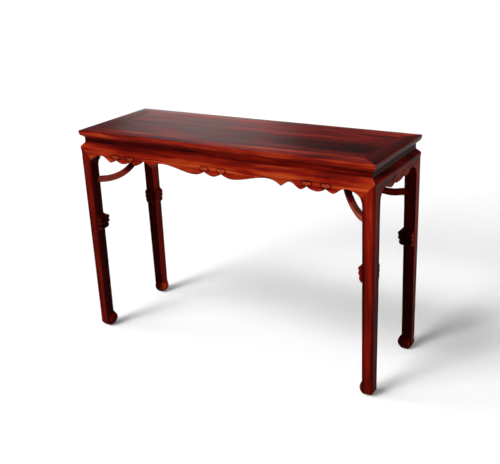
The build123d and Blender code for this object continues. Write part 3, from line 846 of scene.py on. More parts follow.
class Carving:
    """The bead along an apron's lower edge and the curls over its notches."""

    # How rubbed the bead is, how bright the painted highlights on the curls are, and how dark the painted
    # shade is round the curls and along the lower edge.
    bead_rub, curl_rub, hollow_dust, edge_dust = 0.1, 0.75, 1.0, 0.9

    def __init__(self, corner, scallops, run):
        self.sizes = corner.carving
        half = np.vstack((scalloped_edge(scallops), corner.arch(scallops)))
        self.half = half[np.argsort(half[:, 0])]
        self.run = run
        down = np.vstack((half, corner.ear(), corner.inner_edge()))
        self.edge = near_tree(self.both(down))
        self.cusps = [point[:2] for point in scallops if point[2] < 0.0 < point[3]]
        self.points = [point[0] for point in scallops if point[3] < 0.0 < point[2]]
        lines = [curl(self.sizes, cusp, hand) for cusp in self.cusps for hand in (-1, 1)]
        self.curls = near_tree(self.both(np.vstack(lines)))

    def both(self, path):
        """A path and its mirror image on the other half of the run."""
        return np.vstack((path, np.column_stack((self.run - path[:, 0], path[:, 1]))))

    def low(self, place):
        """Height of the lower edge at a place along the run."""
        return np.interp(np.minimum(place, self.run - place), self.half[:, 0], self.half[:, 1])

    def height(self, place, z):
        """How proud the carving stands, from 0 to 1, and its wear with painted highlights and painted shade.
        """
        curl_width = self.sizes.curl_width
        edge = distances(self.edge, place, z)
        curls = distances(self.curls, place, z)
        bead = bead_height(edge, self.sizes.bead_width)
        line = half_round(curls, curl_width)
        # painted shade round the curls and along the lower edge, painted highlights on the curls
        hollow = smooth(curl_width * 2.8, curl_width * 0.6, curls) * (line < 0.3)
        shade = smooth(self.sizes.edge_shade, curve_step, edge) * (1.0 - line)
        rub = self.bead_rub * bead + self.curl_rub * line**2
        return np.maximum(bead, line), rub - self.hollow_dust * hollow - self.edge_dust * shade


# ---------------------------------------------------------------- aprons

def shoulder_section(corner):
    """Section of an apron's shoulder as points of (inset, height), from the crease up."""
    rounding = corner.apron.shoulder_round
    slope_start = (rounding * waist_inset / corner.apron.shoulder_rise, corner.shoulder + rounding)
    t = np.linspace(0.0, 1.0, 9)[:, None]
    start, middle = np.array((0.0, corner.crease)), np.array((0.0, corner.shoulder))
    curve = (1 - t) ** 2 * start + 2 * t * (1 - t) * middle + t**2 * np.array(slope_start)
    return np.vstack((curve, np.linspace(slope_start, (waist_inset, waist_bottom), 4)[1:]))


def apron_columns(corner, carving, run):
    """Places along an apron, closer together over its carving."""
    plain, by_leg, by_curl, by_point, least = 0.007, 0.0012, 0.0008, 0.001, 0.00028
    leg_part, point_part, curl_part = 0.060, 0.006, carving.sizes.curl_radius * 2.4
    beside_arris = np.array((0.0003, 0.0008, 0.0015, 0.0024))
    places = [
        np.arange(corner.arris, run / 2, plain),
        corner.arris + beside_arris,
        np.arange(corner.mitre_reach - point_part, corner.mitre_reach + leg_part, by_leg),
        np.array((corner.mitre_reach,)),
    ]
    places += [np.arange(cusp - curl_part, cusp + curl_part, by_curl) for cusp, _ in carving.cusps]
    places += [np.arange(point - point_part, point + point_part, by_point) for point in carving.points]
    half = np.concatenate(places)
    half = spaced(half[(half >= corner.arris) & (half < run / 2 - curve_step)], least)
    return np.concatenate((half, (run / 2,), run - half[::-1]))


def apron_heights(corner, section, low, top):
    """Heights of the points up an apron's face and shoulder, closest together along the lower edge."""
    over_bead, over_curls, curls_end, full_field = 0.0005, 0.0008, 0.0245, 0.030
    near = np.concatenate((np.arange(0.0, 0.005, over_bead), np.arange(0.005, curls_end, over_curls)))
    close = low + near * np.minimum(1.0, (top - low) / full_field)
    upper = close[:, -1:] + (top - close[:, -1:]) * np.linspace(0.0, 1.0, 6)[1:]
    rise = (section[1:, 1] - corner.crease) / (waist_bottom - corner.crease)
    return np.hstack((close, upper, top + (waist_bottom - top) * rise))


def apron_back(along, low, top):
    """The top edge, the back and the underside of an apron, with the small bevel behind its edge."""
    bevel = 0.0012
    heights = [waist_bottom + 0 * low, top, low + (top - low) * 0.5, low + bevel]
    under = [
        (apron_thickness - bevel * 0.3, 0.3 * bevel),
        (apron_thickness - bevel, 0.0),
        (apron_thickness * 0.5, 0.0),
        (0.0030, 0.0),
    ]
    back = [np.stack((along(apron_thickness), apron_thickness + 0 * low, z), -1) for z in heights]
    return back + [np.stack((along(depth), depth + 0 * low, low + lift), -1) for depth, lift in under]


def scalloped_apron(corner, scallops, run):
    """An apron along a run: carved face, shoulder, top, back and scalloped underside."""
    carving = Carving(corner, scallops, run)
    place = apron_columns(corner, carving, run)[:, None]
    from_end = np.minimum(place, run - place)
    low = np.where(from_end < corner.mitre_reach, corner.shoulder - from_end, carving.low(place))
    top = np.maximum(low, corner.crease)
    section = shoulder_section(corner)
    z = apron_heights(corner, section, low, top)
    in_section = np.interp(z, section[:, 1], section[:, 0])

    def along(start):
        """Places along the run for points whose mitre starts at a distance from the corner."""
        part = (from_end - corner.arris) / (corner.mitre_reach - corner.arris)
        inner = np.where(part < 1.0, start + part * (corner.mitre_reach - start), from_end)
        return np.where(place > run / 2, run - inner, inner)

    ground = corner.lowered(z)
    s = along(np.maximum(in_section, corner.arris + ground))
    proud, wear = carving.height(s, z)
    worn_in = ground + corner.rounded(np.minimum(s, run - s) - ground)
    inset = np.maximum(in_section, worn_in - ground * proud)
    back = apron_back(along, low, top)
    loops = np.concatenate([np.stack((s, inset, z), -1)] + back, axis=1)

    # painted shade darkens the shoulder under the waist, though not by the legs, and the apron's back is
    # darker
    shoulder_shade, back_darkening = 0.45, 0.8
    under_waist = smooth(corner.crease, corner.shoulder + 0.004, z) * smooth(0.02, 0.10, from_end)
    wear = wear * (z < corner.crease) - shoulder_shade * under_waist
    wear = np.hstack((wear, np.full((len(place), len(back)), -back_darkening)))
    heart_aside, heart_below = 0.04, 0.03
    log = loops + np.array((0.0, heart_aside, -waist_bottom - heart_below))
    return Work().loft(loops, log, wear)


# ---------------------------------------------------------------- legs

# How much brighter (+) or darker (-) than the others each leg is; the rear legs' darkening is painted shade.
leg_tone_and_shade = {"front_left": -0.32, "front_right": -0.05, "rear_left": -0.08, "rear_right": -0.3}

# Where a leg's ring has its points: distances from the face's edge over the bead, then shares of the
# way from the face to the apron's back, and of the way from there to the leg's inner corner.
over_bead = np.array(
    (0.0068, 0.0060, 0.0053, 0.0047, 0.0042, 0.0037, 0.0031, 0.0025, 0.0019, 0.0013, 0.0007, 0.0003, 0.0)
)
to_back = np.concatenate(((0.004, 0.012, 0.026, 0.046, 0.072, 0.105, 0.145), np.linspace(0.19, 1.0, 18)))
to_inner_corner = np.linspace(0.0, 1.0, 15)


def hoof_line(corner):
    """Reach of the foot's inner side by height, from under the foot to the ankle."""
    leg = corner.leg
    tip = (corner.width(leg.hoof_tip_height) + leg.hoof_reach, leg.hoof_tip_height)
    under = bend((leg.foot_round_width + leg.foot_pad, 0.0), 0.0, tip, pi / 2)
    ankle = (corner.width(leg.ankle_height), leg.ankle_height)
    return np.vstack((under, bend(tip, pi / 2, ankle, pi - leg.hoof_lean)))


def ornament_line(corner):
    """The carved ornament in profile, from its foot up, and the heights where its parts meet."""
    leg = corner.leg
    top = corner.shoulder - leg.ornament_drop
    brow = top - leg.brow_height
    first = brow - leg.first_lobe
    second = first - leg.second_lobe
    foot = second - leg.third_lobe
    at_foot = (corner.width(foot), foot)
    at_second = (corner.width(second) + leg.second_notch, second)
    at_first = (corner.width(first) + leg.first_notch, first)
    at_brow = (corner.width(brow) + leg.brow_reach, brow)
    parts = (
        swell(at_foot, at_second, leg.third_swell),
        swell(at_second, at_first, leg.second_swell),
        swell(at_first, at_brow, leg.first_swell),
        bend(at_brow, pi - leg.brow_lean, (corner.width(top), top), pi / 2),
    )
    return np.vstack(parts), [foot, second, first, brow, top]


def lobe_scrolls(carving, levels):
    """Grooves on the ornament's sides, in (b, height): each lobe's line rolls up into a small scroll."""
    last_turn, tightening, count = -2.4 * pi, 0.75, 60
    tail_start, tail_leave, tail_arrive = 0.046, 0.034, 0.026
    lines = []
    for low, high in zip(levels[:3], levels[1:4]):
        radius = (high - low) * 0.34
        centre = (carving.nose + radius * 1.1, (low + high) / 2)
        turns = np.linspace(-0.5 * pi, last_turn, count)
        reach = radius * np.linspace(1.0, 1.0 - tightening, count)
        rolled = np.column_stack((centre[0] + reach * np.cos(turns), centre[1] + reach * np.sin(turns)))
        leave, arrive = (tail_leave, low + 0.0005), (tail_arrive, centre[1] - radius)
        lines += [cubic((tail_start, low + 0.002), leave, arrive, rolled[0]), rolled]
    return near_tree(np.vstack(lines))


def leg_heights(corner, levels):
    """Heights of the leg's rings, closer together over the foot, the ornament and the ear."""
    over_foot, over_plain, over_ornament, over_ear, least = 0.0016, 0.012, 0.0009, 0.0024, 0.00018
    foot_top, beyond = 0.064, 0.004
    sole = (0.0, 0.0002, 0.0007, 0.0014, 0.0024, 0.0036)
    foot = np.arange(0.005, foot_top, over_foot)
    plain = np.arange(foot_top, corner.mitre_end, over_plain)
    ornament = np.arange(levels[0] - beyond, levels[-1] + beyond, over_ornament)
    plain = plain[(plain < ornament[0]) | (plain > ornament[-1])]
    ear = np.arange(corner.ear_foot - beyond, corner.mitre_end, over_ear)
    return spaced(np.concatenate((sole, foot, plain, levels, ornament, ear, (corner.mitre_end,))), least)


class LegRings:
    """The rings of a leg by height, and the parts of half a ring, each as its a, its b and its wear and
    shading.
    """

    def __init__(self, corner):
        self.corner = corner
        leg = corner.leg
        ornament, self.levels = ornament_line(corner)
        hoof = hoof_line(corner)
        ear = corner.ear()[::-1]
        below = leg_heights(corner, self.levels)
        above = np.arange(corner.mitre_end + 0.0015, corner.shoulder - 0.0012, 0.0022)
        z = np.concatenate((below, (corner.mitre_end,), above))[:, None]
        self.z = z
        self.on_shoulder = (np.arange(len(z)) >= len(below))[:, None]

        # how far the face, the hoof and the lobes reach
        plain = corner.width(z)
        hoof_reach = np.interp(z, hoof[:, 1], hoof[:, 0], right=0.0)
        ear_reach = np.interp(z, ear[:, 1], ear[:, 0], left=0.0, right=0.0)
        lobe_reach = np.interp(z, ornament[:, 1], ornament[:, 0], left=0.0, right=0.0)
        upper, lower = np.maximum(plain, ear_reach), np.minimum(plain, hoof_reach)
        self.face_edge = np.where(z < leg.hoof_tip_height, lower, upper)
        self.edge = np.where(self.on_shoulder, corner.shoulder - z, self.face_edge)
        self.hoof_out = np.clip(hoof_reach - self.face_edge, 0.0, 1.0)
        self.lobes = np.clip(lobe_reach - plain, 0.0, 1.0)

        # the foot's outer curve, and the rounded outer corner, which the curve widens
        corner_widening, widest_share = 0.006, 0.42
        self.drop = np.clip((leg.foot_round_height - z) / leg.foot_round_height, 0.0, 1.0)
        self.outer = leg.foot_round_width * (1.0 - np.sqrt(1.0 - self.drop**2))
        self.ground = corner.lowered(z)
        self.start = self.outer + self.ground
        radius = leg.corner_round + corner_widening * self.drop
        self.radius = np.minimum(radius, widest_share * (self.edge - self.start))

        # painted shade: the legs are darker towards the floor
        dark_below, bright_above, darkening = 0.30, 0.75, 0.36
        self.low_shade = darkening * smooth(bright_above, dark_below, z)

    def arris(self):
        """The rounded outer corner, from the corner's diagonal to the face."""
        # painted shade on the rounded outer corner
        painted_arris_shade = 0.30
        turn = np.linspace(pi / 4, 0.0, 6)
        a = self.start + self.radius * (1.0 - np.sin(turn))
        b = self.start + self.radius * (1.0 - np.cos(turn))
        return a, b, -painted_arris_shade - self.low_shade + 0 * a

    def face(self):
        """The outer face with its bead, from the rounded corner to the face's edge."""
        corner, bead_width = self.corner, self.corner.carving.bead_width
        first = self.start + self.radius
        room = self.edge - self.start - self.radius
        close = self.edge - over_bead * np.minimum(1.0, room / 0.009)
        spread = first + (close[:, :1] - first) * np.linspace(0.0, 1.0, 7)[1:-1]
        a = np.hstack((spread, close))
        scallops = front_scallops(corner.apron)
        apron_edge = scalloped_edge(scallops[-3:])
        path = np.vstack((apron_edge, corner.arch(scallops), corner.ear(), corner.inner_edge()))
        from_edge = distances(near_tree(path), a, self.z)
        bead = bead_height(from_edge, bead_width)

        # painted shade beside the bead, along the face's edge and beside the rounded corner
        base, painted_bead_shade, edge_dust, painted_arris_shade = 0.15, 0.4, 0.55, 0.45
        carved = (bead < 0.05) * (self.ground > 0.0002)
        beside_bead = ridge(bead_width + 0.0006, 0.0012, from_edge) * carved
        beside_edge = smooth(0.012, 0.001, from_edge)
        beside_arris = smooth(0.013, 0.0, a - self.start)
        dust = painted_bead_shade * beside_bead + edge_dust * beside_edge + painted_arris_shade * beside_arris
        return a, self.start - self.ground * bead, base - dust - self.low_shade

    def inner_corner(self):
        """Where the two inner sides would meet, and the radius that rounds them there."""
        least, at_lobes, at_hoof, at_foot, widest_share = 0.0015, 0.0015, 0.0085, 0.010, 0.35
        rounding = least + at_lobes * smooth(0.0, 0.004, self.lobes)
        rounding = rounding + at_hoof * smooth(0.0, 0.010, self.hoof_out) + at_foot * self.drop
        rounding = np.minimum(rounding, widest_share * (self.face_edge - self.outer))
        return self.face_edge + self.lobes + self.hoof_out, rounding

    def side(self):
        """The inner side with its lobes and hoof, from the face's edge back to the inner corner."""
        leg, carving, z = self.corner.leg, self.corner.carving, self.z
        square, rounding = self.inner_corner()
        diagonal = square - rounding * (1 - cos(pi / 4))
        split = np.minimum(apron_thickness, self.start + (diagonal - self.start) * 0.6)
        near_b = self.start + (split - self.start) * to_back
        b = np.hstack((near_b, split + (diagonal - split) * to_inner_corner))
        behind = b - self.start

        hoof_nose = 0.0085 + 0.016 * smooth(leg.hoof_tip_height, leg.ankle_height, z)
        hoof = self.hoof_out * rounded_off(np.clip(behind - 0.003, 0.0, None), hoof_nose)
        from_scroll = distances(lobe_scrolls(carving, self.levels), behind, z)
        groove = ridge(0.0, carving.scroll_width, from_scroll) * smooth(0.002, 0.006, self.lobes)
        groove = groove * smooth(0.0, 0.006, diagonal - b)
        past = np.clip(b - (square - rounding), 0.0, None)
        turn_in = rounding - np.sqrt(np.clip(rounding**2 - past**2, 0.0, None))
        lobes = self.lobes * rounded_off(behind, carving.nose)
        a = self.face_edge + lobes + hoof - groove * carving.scroll_depth - turn_in

        # painted highlights on the lobes' crowns and on the hoof, painted shade on the lobes, and darker
        # grooves
        crown_highlight, lobe_shade, groove_darkening, hoof_highlight = 1.8, 0.2, 1.2, 0.5
        wear = crown_highlight * self.crowns() * ridge(0.0035, 0.0025, behind) - self.low_shade
        wear = wear - lobe_shade * smooth(0.0, 0.006, self.lobes) - groove_darkening * groove
        wear = wear + hoof_highlight * smooth(0.004, 0.012, hoof)

        wedge_a, wedge_b = self.wedge()
        return np.where(self.on_shoulder, wedge_a, a), np.where(self.on_shoulder, wedge_b, b), wear

    def crowns(self):
        """1 at the height where a lobe swells most, 0 at the notches and away from the ornament."""
        at_notch, at_crown = -0.4, 1.0
        levels = np.array(self.levels[:4])
        heights = np.sort(np.concatenate((levels, (levels[:-1] + levels[1:]) / 2)))
        values = [at_notch, at_crown] * 3 + [at_notch]
        crowned = np.interp(self.z, heights, values, left=0.0, right=0.0)
        return np.clip(crowned, 0.0, 1.0) * smooth(0.001, 0.006, self.lobes)

    def wedge(self):
        """The inner side above the mitre, where only the shoulder's thin wedge is left."""
        depth = np.minimum(apron_thickness, self.edge)
        a = self.edge + (depth - self.edge) * to_inner_corner
        b = self.start + (depth - self.start) * np.concatenate((to_back, np.ones(len(to_inner_corner))))
        return np.hstack((np.repeat(self.edge, len(to_back), 1), a)), b


def carved_leg(corner):
    """A leg in corner coordinates: half a ring at each height, mirrored across the corner's diagonal."""
    rings = LegRings(corner)
    half_a, half_b, wear = map(np.hstack, zip(rings.arris(), rings.face(), rings.side()))
    full_a = np.hstack((half_a, half_b[:, -2:0:-1]))
    full_b = np.hstack((half_b, half_a[:, -2:0:-1]))
    loops = np.stack((full_a, full_b, np.broadcast_to(rings.z, full_a.shape)), -1)
    leg = Work().loft(loops, loops[..., [2, 0, 1]], np.hstack((wear, wear[:, -2:0:-1])))
    post = post_loops(corner)
    return leg.loft(post, post[..., [2, 0, 1]], 0.0)


def post_loops(corner):
    """The post that runs up behind the aprons to the top frame, wider at its foot to carry the mitres."""
    easing, width, reach = 0.0006, corner.leg.width, corner.mitre_reach - 0.0004
    levels = (
        (corner.mitre_end - 0.003, 0.0, reach),
        (corner.mitre_end + 0.003, 0.0, reach),
        (corner.mitre_end + 0.012, 0.0, width),
        (frame_bottom - easing, 0.0, width),
        (frame_bottom, easing, width),
    )
    loops = []
    for height, shrink, high in levels:
        near, far = apron_thickness + shrink, high - shrink
        ring = [(near, near), (far - easing, near), (far, near + easing), (far, far - easing)]
        ring += [(far - easing, far), (near + easing, far), (near, far - easing)]
        loops.append([(a, b, height) for a, b in ring])
    return np.array(loops)


# ---------------------------------------------------------------- braces

# How bright the painted light on a brace's root is, where and how much painted shade darkens it under the
# top, and how much darker painted shade makes the rear braces.
root_light, dark_from, dark_to, end_shade, rear_shade = 0.60, 0.110, 0.170, 1.50, 0.6


def brace_path(brace):
    """The brace's middle line as points of (distance, height, slope angle)."""
    in_leg, easing = 0.013, 0.001
    rise = brace.drop - brace.height / 2
    radii = brace.lower_radius + brace.upper_radius
    turn = asin((rise - radii) / hypot(radii, brace.straight)) + atan2(radii, brace.straight)
    points = [(-in_leg, 0.0, 0.0), (0.0, 0.0, 0.0)]
    for t in np.linspace(0.0, turn, 24):
        points.append((brace.lead + brace.lower_radius * sin(t), brace.lower_radius * (1 - cos(t)), t))
    x, y = points[-1][:2]
    points.append((x + brace.straight * 0.5 * cos(turn), y + brace.straight * 0.5 * sin(turn), turn))
    x, y = x + brace.straight * cos(turn), y + brace.straight * sin(turn)
    for t in np.linspace(turn, 0.0, 16):
        ahead, up = brace.upper_radius * (sin(turn) - sin(t)), brace.upper_radius * (cos(t) - cos(turn))
        points.append((x + ahead, y + up, t))
    x, y = points[-1][:2]
    points += [(x + ahead, y, 0.0) for ahead in (brace.pad * 0.5, brace.pad - easing, brace.pad)]
    return points


def rounded_bar(width, height, corner, steps=5):
    """A rounded rectangle's outline about its middle."""
    outline = []
    for quarter, (x, y) in enumerate(((1, 1), (-1, 1), (-1, -1), (1, -1))):
        middle_x, middle_y = x * (width / 2 - corner), y * (height / 2 - corner)
        for t in np.linspace(quarter * pi / 2, (quarter + 1) * pi / 2, steps):
            outline.append((middle_x + corner * cos(t), middle_y + corner * sin(t)))
    return np.array(outline)


def curved_brace(scene, corner):
    """A brace in corner coordinates, from the leg's inner corner up under the batten."""
    easing, heart = 0.001, (0.03, 0.05)
    brace = scene.altar_table_brace
    path = brace_path(brace)
    root = frame_bottom - brace.drop
    reach = half_depth - corner.width(root) - brace.end_space / 2
    plan = asin(reach / path[-1][0])
    outline = rounded_bar(brace.width, brace.height, brace.corner)
    small = outline * (1 - easing / np.array((brace.width, brace.height)) * 2)
    origin = np.array((corner.width(root), corner.width(root), root))
    ahead = np.array((cos(plan), sin(plan), 0.0))
    aside = np.array((-sin(plan), cos(plan), 0.0))
    loops, log, wear, run = [], [], [], 0.0
    for index, (x, y, slope) in enumerate(path):
        ring = small if index == len(path) - 1 else outline
        up = ahead * -sin(slope) + np.array((0.0, 0.0, cos(slope)))
        middle = origin + ahead * x + np.array((0.0, 0.0, y))
        loops.append(middle + ring[:, :1] * aside + ring[:, 1:] * up)
        run += hypot(x - path[index - 1][0], y - path[index - 1][1]) if index else 0.0
        log.append(np.column_stack((np.full(len(ring), run), ring + heart)))
        # painted light on the root, painted shade under the top
        wear.append(root_light - end_shade * smooth(dark_from, dark_to, run))
    return Work().loft(np.array(loops), np.array(log), np.array(wear)[:, None])


# ---------------------------------------------------------------- one operator for each group of pieces

class ALTAR_TABLE_OT_top_frame(bpy.types.Operator):
    """Adds the four mitred rails with their moulded edge"""

    bl_idname = "altar_table.top_frame"
    bl_label = "Top Frame"

    def execute(self, context):
        top = context.scene.altar_table_top
        wood = context.scene.altar_table_rosewood
        front_wood = rosewood("front_rail_rosewood", wood.frame_tone, wood.front_rail_gloss)
        rear_wood = rosewood("rear_rail_rosewood", wood.frame_tone, wood.top_gloss)
        # the end rails get a darker copy of the wood, as painted shade
        shaded_end_wood = rosewood("shaded_end_rail_rosewood", wood.shaded_end_rail_tone, wood.top_gloss, figured=0.6)
        long, end = mitred_rail(top, 2 * half_length), mitred_rail(top, 2 * half_depth)
        rails = [
            ("front", "rail", long, front_wood, (0.0, 0.0, 0.0)),
            ("rear", "rail", long, rear_wood, (3.0, 0.012, 0.0)),
            ("left", "end_rail", end, shaded_end_wood, (7.0, 0.02, 0.01)),
            ("right", "end_rail", end, shaded_end_wood, (9.0, 0.02, 0.01)),
        ]
        for side, kind, rail, material, shift in rails:
            placed = rail.placed(runs[side]).shifted_log(shift)
            placed.finish(f"moulded_{side}_{kind}", f"top_{kind}_{side}", "top_frame_rosewood", material)
        return {"FINISHED"}


class ALTAR_TABLE_OT_panel(bpy.types.Operator):
    """Adds the two boards of the floating panel"""

    bl_idname = "altar_table.panel"
    bl_label = "Panel Boards"

    def execute(self, context):
        top = context.scene.altar_table_top
        wood = context.scene.altar_table_rosewood
        end = half_length - rail_width - top.panel_gap
        edge = half_depth - rail_width - top.panel_gap
        bottom = table_height - top.panel_thickness
        boards = {
            "front": (-edge, top.board_joint, wood.front_board_tone, (0.0, 0.05, -0.75)),
            "rear": (top.board_joint, edge, wood.rear_board_tone, (5.0, -0.45, -0.75)),
        }
        for side, (low_y, high_y, tone, shift) in boards.items():
            board = eased_board(top, (-end, low_y, bottom), (end, high_y, table_height)).shifted_log(shift)
            material = rosewood(f"{side}_board_rosewood", tone, wood.top_gloss, figured=0.8)
            board.finish(f"{side}_panel_board", f"panel_board_{side}", "panel_rosewood", material)
        return {"FINISHED"}


class ALTAR_TABLE_OT_aprons(bpy.types.Operator):
    """Adds the four scalloped aprons with their bead and curls"""

    bl_idname = "altar_table.aprons"
    bl_label = "Aprons"

    def execute(self, context):
        corner = Corner(context.scene)
        wood = context.scene.altar_table_rosewood
        long_wood = rosewood("apron_rosewood", wood.apron_tone, wood.gloss)
        # the end aprons get a darker copy of the wood, as painted shade
        shaded_end_wood = rosewood("shaded_end_apron_rosewood", wood.shaded_end_apron_tone, wood.gloss)
        long = scalloped_apron(corner, front_scallops(corner.apron), 2 * half_length)
        end = scalloped_apron(corner, side_scallops(corner.apron, corner.mitre_reach), 2 * half_depth)
        sides = {"front": (long, long_wood), "rear": (long, long_wood)}
        sides |= {"left": (end, shaded_end_wood), "right": (end, shaded_end_wood)}
        for index, (side, (apron, material)) in enumerate(sides.items()):
            placed = apron.placed(runs[side]).shifted_log((4.0 * index, 0.015 * index, 0.02))
            placed.finish(f"carved_{side}_apron", f"apron_{side}", "apron_rosewood", material)
        return {"FINISHED"}


class ALTAR_TABLE_OT_legs(bpy.types.Operator):
    """Adds the four legs with their ears, ornaments and hoof feet"""

    bl_idname = "altar_table.legs"
    bl_label = "Legs"

    def execute(self, context):
        wood = context.scene.altar_table_rosewood
        material = rosewood("leg_rosewood", wood.leg_tone, wood.gloss, figured=0.6)
        leg = carved_leg(Corner(context.scene))
        for index, name in enumerate(corners):
            # the rear legs' darkening is painted shade under the top
            placed = leg.placed(at_corner(name)).brighter_or_darker(leg_tone_and_shade[name])
            placed.shifted_log((2.5 * index + 4.3, 0.02 + 0.013 * index, 0.035))
            placed.finish(f"carved_{name}_leg", f"leg_{name}", "leg_rosewood", material)
        return {"FINISHED"}


class ALTAR_TABLE_OT_braces(bpy.types.Operator):
    """Adds the four curved braces"""

    bl_idname = "altar_table.braces"
    bl_label = "Braces"

    def execute(self, context):
        wood = context.scene.altar_table_rosewood
        material = rosewood("brace_rosewood", wood.brace_tone, wood.gloss)
        brace = curved_brace(context.scene, Corner(context.scene))
        for index, name in enumerate(corners):
            placed = brace.placed(at_corner(name)).shifted_log((1.5 * index, 0.0, 0.01))
            # painted shade on the rear braces
            placed.brighter_or_darker(-rear_shade if name.startswith("rear") else 0.0)
            placed.finish(f"curved_{name}_brace", f"brace_{name}", "brace_rosewood", material)
        return {"FINISHED"}


class ALTAR_TABLE_OT_joinery(bpy.types.Operator):
    """Finishes the waist strips, battens, wedges and pegs"""

    bl_idname = "altar_table.joinery"
    bl_label = "Waist and Joinery"

    def execute(self, context):
        wood = context.scene.altar_table_rosewood
        battens = [f"batten_{place}" for place in ("left", "centre", "right")]
        wedges = [f"brace_wedge_{name}" for name in corners]
        pegs = [f"brace_peg_{name}" for name in corners]
        groups = [
            # the waist strips' dark tones are painted shade in their recess, and the long strips' drift is
            # painted light
            (["waist_front", "waist_rear"], "apron_rosewood", "x", wood.shaded_waist_tone, wood.waist_drift),
            (["waist_left", "waist_right"], "apron_rosewood", "y", wood.shaded_end_waist_tone, 0.0),
            (battens, "inner_rosewood", "y", wood.joinery_tone, 0.0),
            (wedges, "inner_rosewood", "x", wood.joinery_tone, 0.0),
            (pegs, "inner_rosewood", "z", wood.joinery_tone, 0.0),
        ]
        for nodes, slot, axis, tone, drift in groups:
            kind = nodes[0].rsplit("_", 1)[0]
            name = f"{kind}_rosewood_along_{axis}"
            material = rosewood(name, tone, wood.gloss, log_along(axis), drift=drift)
            for node in nodes:
                piece = frame["nodes"][node]
                piece.data.materials.clear()
                piece.data.materials.append(material)
        return {"FINISHED"}


# ---------------------------------------------------------------- studio

white = (1.0, 1.0, 1.0, 1.0)


def aimed(place, target):
    """A turn that points an object's -Z at a target."""
    return (Vector(target) - Vector(place)).to_track_quat("-Z", "Y").to_matrix().to_4x4()


def add_sun(name, direction, strength, softness):
    """An even light from a direction, as soft as a broad lamp far away."""
    lamp = bpy.data.lights.new(name, "SUN")
    lamp.energy = strength
    lamp.angle = softness
    return added(name, lamp, aimed(direction, (0.0, 0.0, 0.0)))


def flag(lamp, state, pieces):
    """Makes a lamp light only some pieces (INCLUDE) or all but them (EXCLUDE), as a flag beside it would."""
    lamp.visible_glossy = False
    receivers = bpy.data.collections.new(f"{lamp.name}_flag")
    for piece in pieces:
        receivers.objects.link(piece)
    for member in receivers.collection_objects:
        member.light_linking.link_state = state
    lamp.light_linking.receiver_collection = receivers


def add_softbox(name, place, target, power, width):
    """A soft round lamp aimed at a target."""
    lamp = bpy.data.lights.new(name, "AREA")
    lamp.energy = power
    lamp.shape = "DISK"
    lamp.size = width
    added(name, lamp, Matrix.Translation(place) @ aimed(place, target))


def add_camera(studio):
    """The camera, looking down at the table from the right, with its small roll."""
    yaw, pitch, roll = studio.yaw, studio.pitch, studio.roll
    ahead = Vector((sin(yaw) * cos(pitch), cos(yaw) * cos(pitch), -sin(pitch)))
    level_right = Vector((cos(yaw), -sin(yaw), 0.0))
    upright = level_right.cross(ahead)
    right = level_right * cos(roll) + upright * sin(roll)
    up = upright * cos(roll) - level_right * sin(roll)
    turned = Matrix((right, up, -ahead)).transposed().to_4x4()
    camera = bpy.data.cameras.new("camera")
    camera.sensor_width = 36.0
    camera.lens = studio.lens
    place = Matrix.Translation((studio.camera_x, studio.camera_y, studio.camera_z))
    bpy.context.scene.camera = added("camera", camera, place @ turned)


def seen_directly(bench, mirrored=1.0):
    """1 for what the camera sees, a given share for mirrors and clear surfaces, 0 for the light itself."""
    rays = bench.node("ShaderNodeLightPath").socket.node.outputs
    kinds = ("Is Camera Ray", "Is Glossy Ray", "Is Transmission Ray")
    camera, glossy, through = (Wire(bench, rays[kind]) for kind in kinds)
    return (camera + (glossy + through) * mirrored).held()


def add_backdrop(studio):
    """Dim light from all round. It is seen as white, and mirrored as white at the horizon only."""
    world = bpy.data.worlds.new("studio")
    world.use_nodes = True
    bpy.context.scene.world = world
    bench = Bench(world.node_tree)
    upwards = bench.parts(bench.node("ShaderNodeTexCoord", None, None, 0))[2]
    bright = bench.node("ShaderNodeBackground", None, {0: white, 1: 1.0})
    dim = bench.node("ShaderNodeBackground", None, {0: white, 1: studio.fill})
    seen = seen_directly(bench, 1.0 - upwards.between(0.0, 0.12))
    mixed = bench.node("ShaderNodeMixShader", None, {0: seen, 1: dim, 2: bright})
    bench.node("ShaderNodeOutputWorld", None, {0: mixed})


def add_floor(studio):
    """A wide pale floor that keeps the table's shadow and throws little light back."""
    reach = 30.0
    square = [(x * reach, y * reach, 0.0) for x, y in ((-1, -1), (1, -1), (1, 1), (-1, 1))]
    mesh = bpy.data.meshes.new("floor")
    mesh.from_pydata(square, [], [(0, 1, 2, 3)])
    material, bench = new_material("pale_floor")
    bounce = bench.node("ShaderNodeBsdfDiffuse", None, {0: studio.floor_bounce})
    pale = bench.node("ShaderNodeBsdfDiffuse", None, {0: studio.floor})
    plain = bench.node("ShaderNodeEmission", None, {0: white, 1: 1.0})
    glowing = bench.node("ShaderNodeMixShader", None, {0: studio.floor_glow, 1: pale, 2: plain})
    mixed = bench.node("ShaderNodeMixShader", None, {0: seen_directly(bench), 1: bounce, 2: glowing})
    bench.node("ShaderNodeOutputMaterial", None, {0: mixed})
    mesh.materials.append(material)
    floor = added("floor", mesh)
    return floor


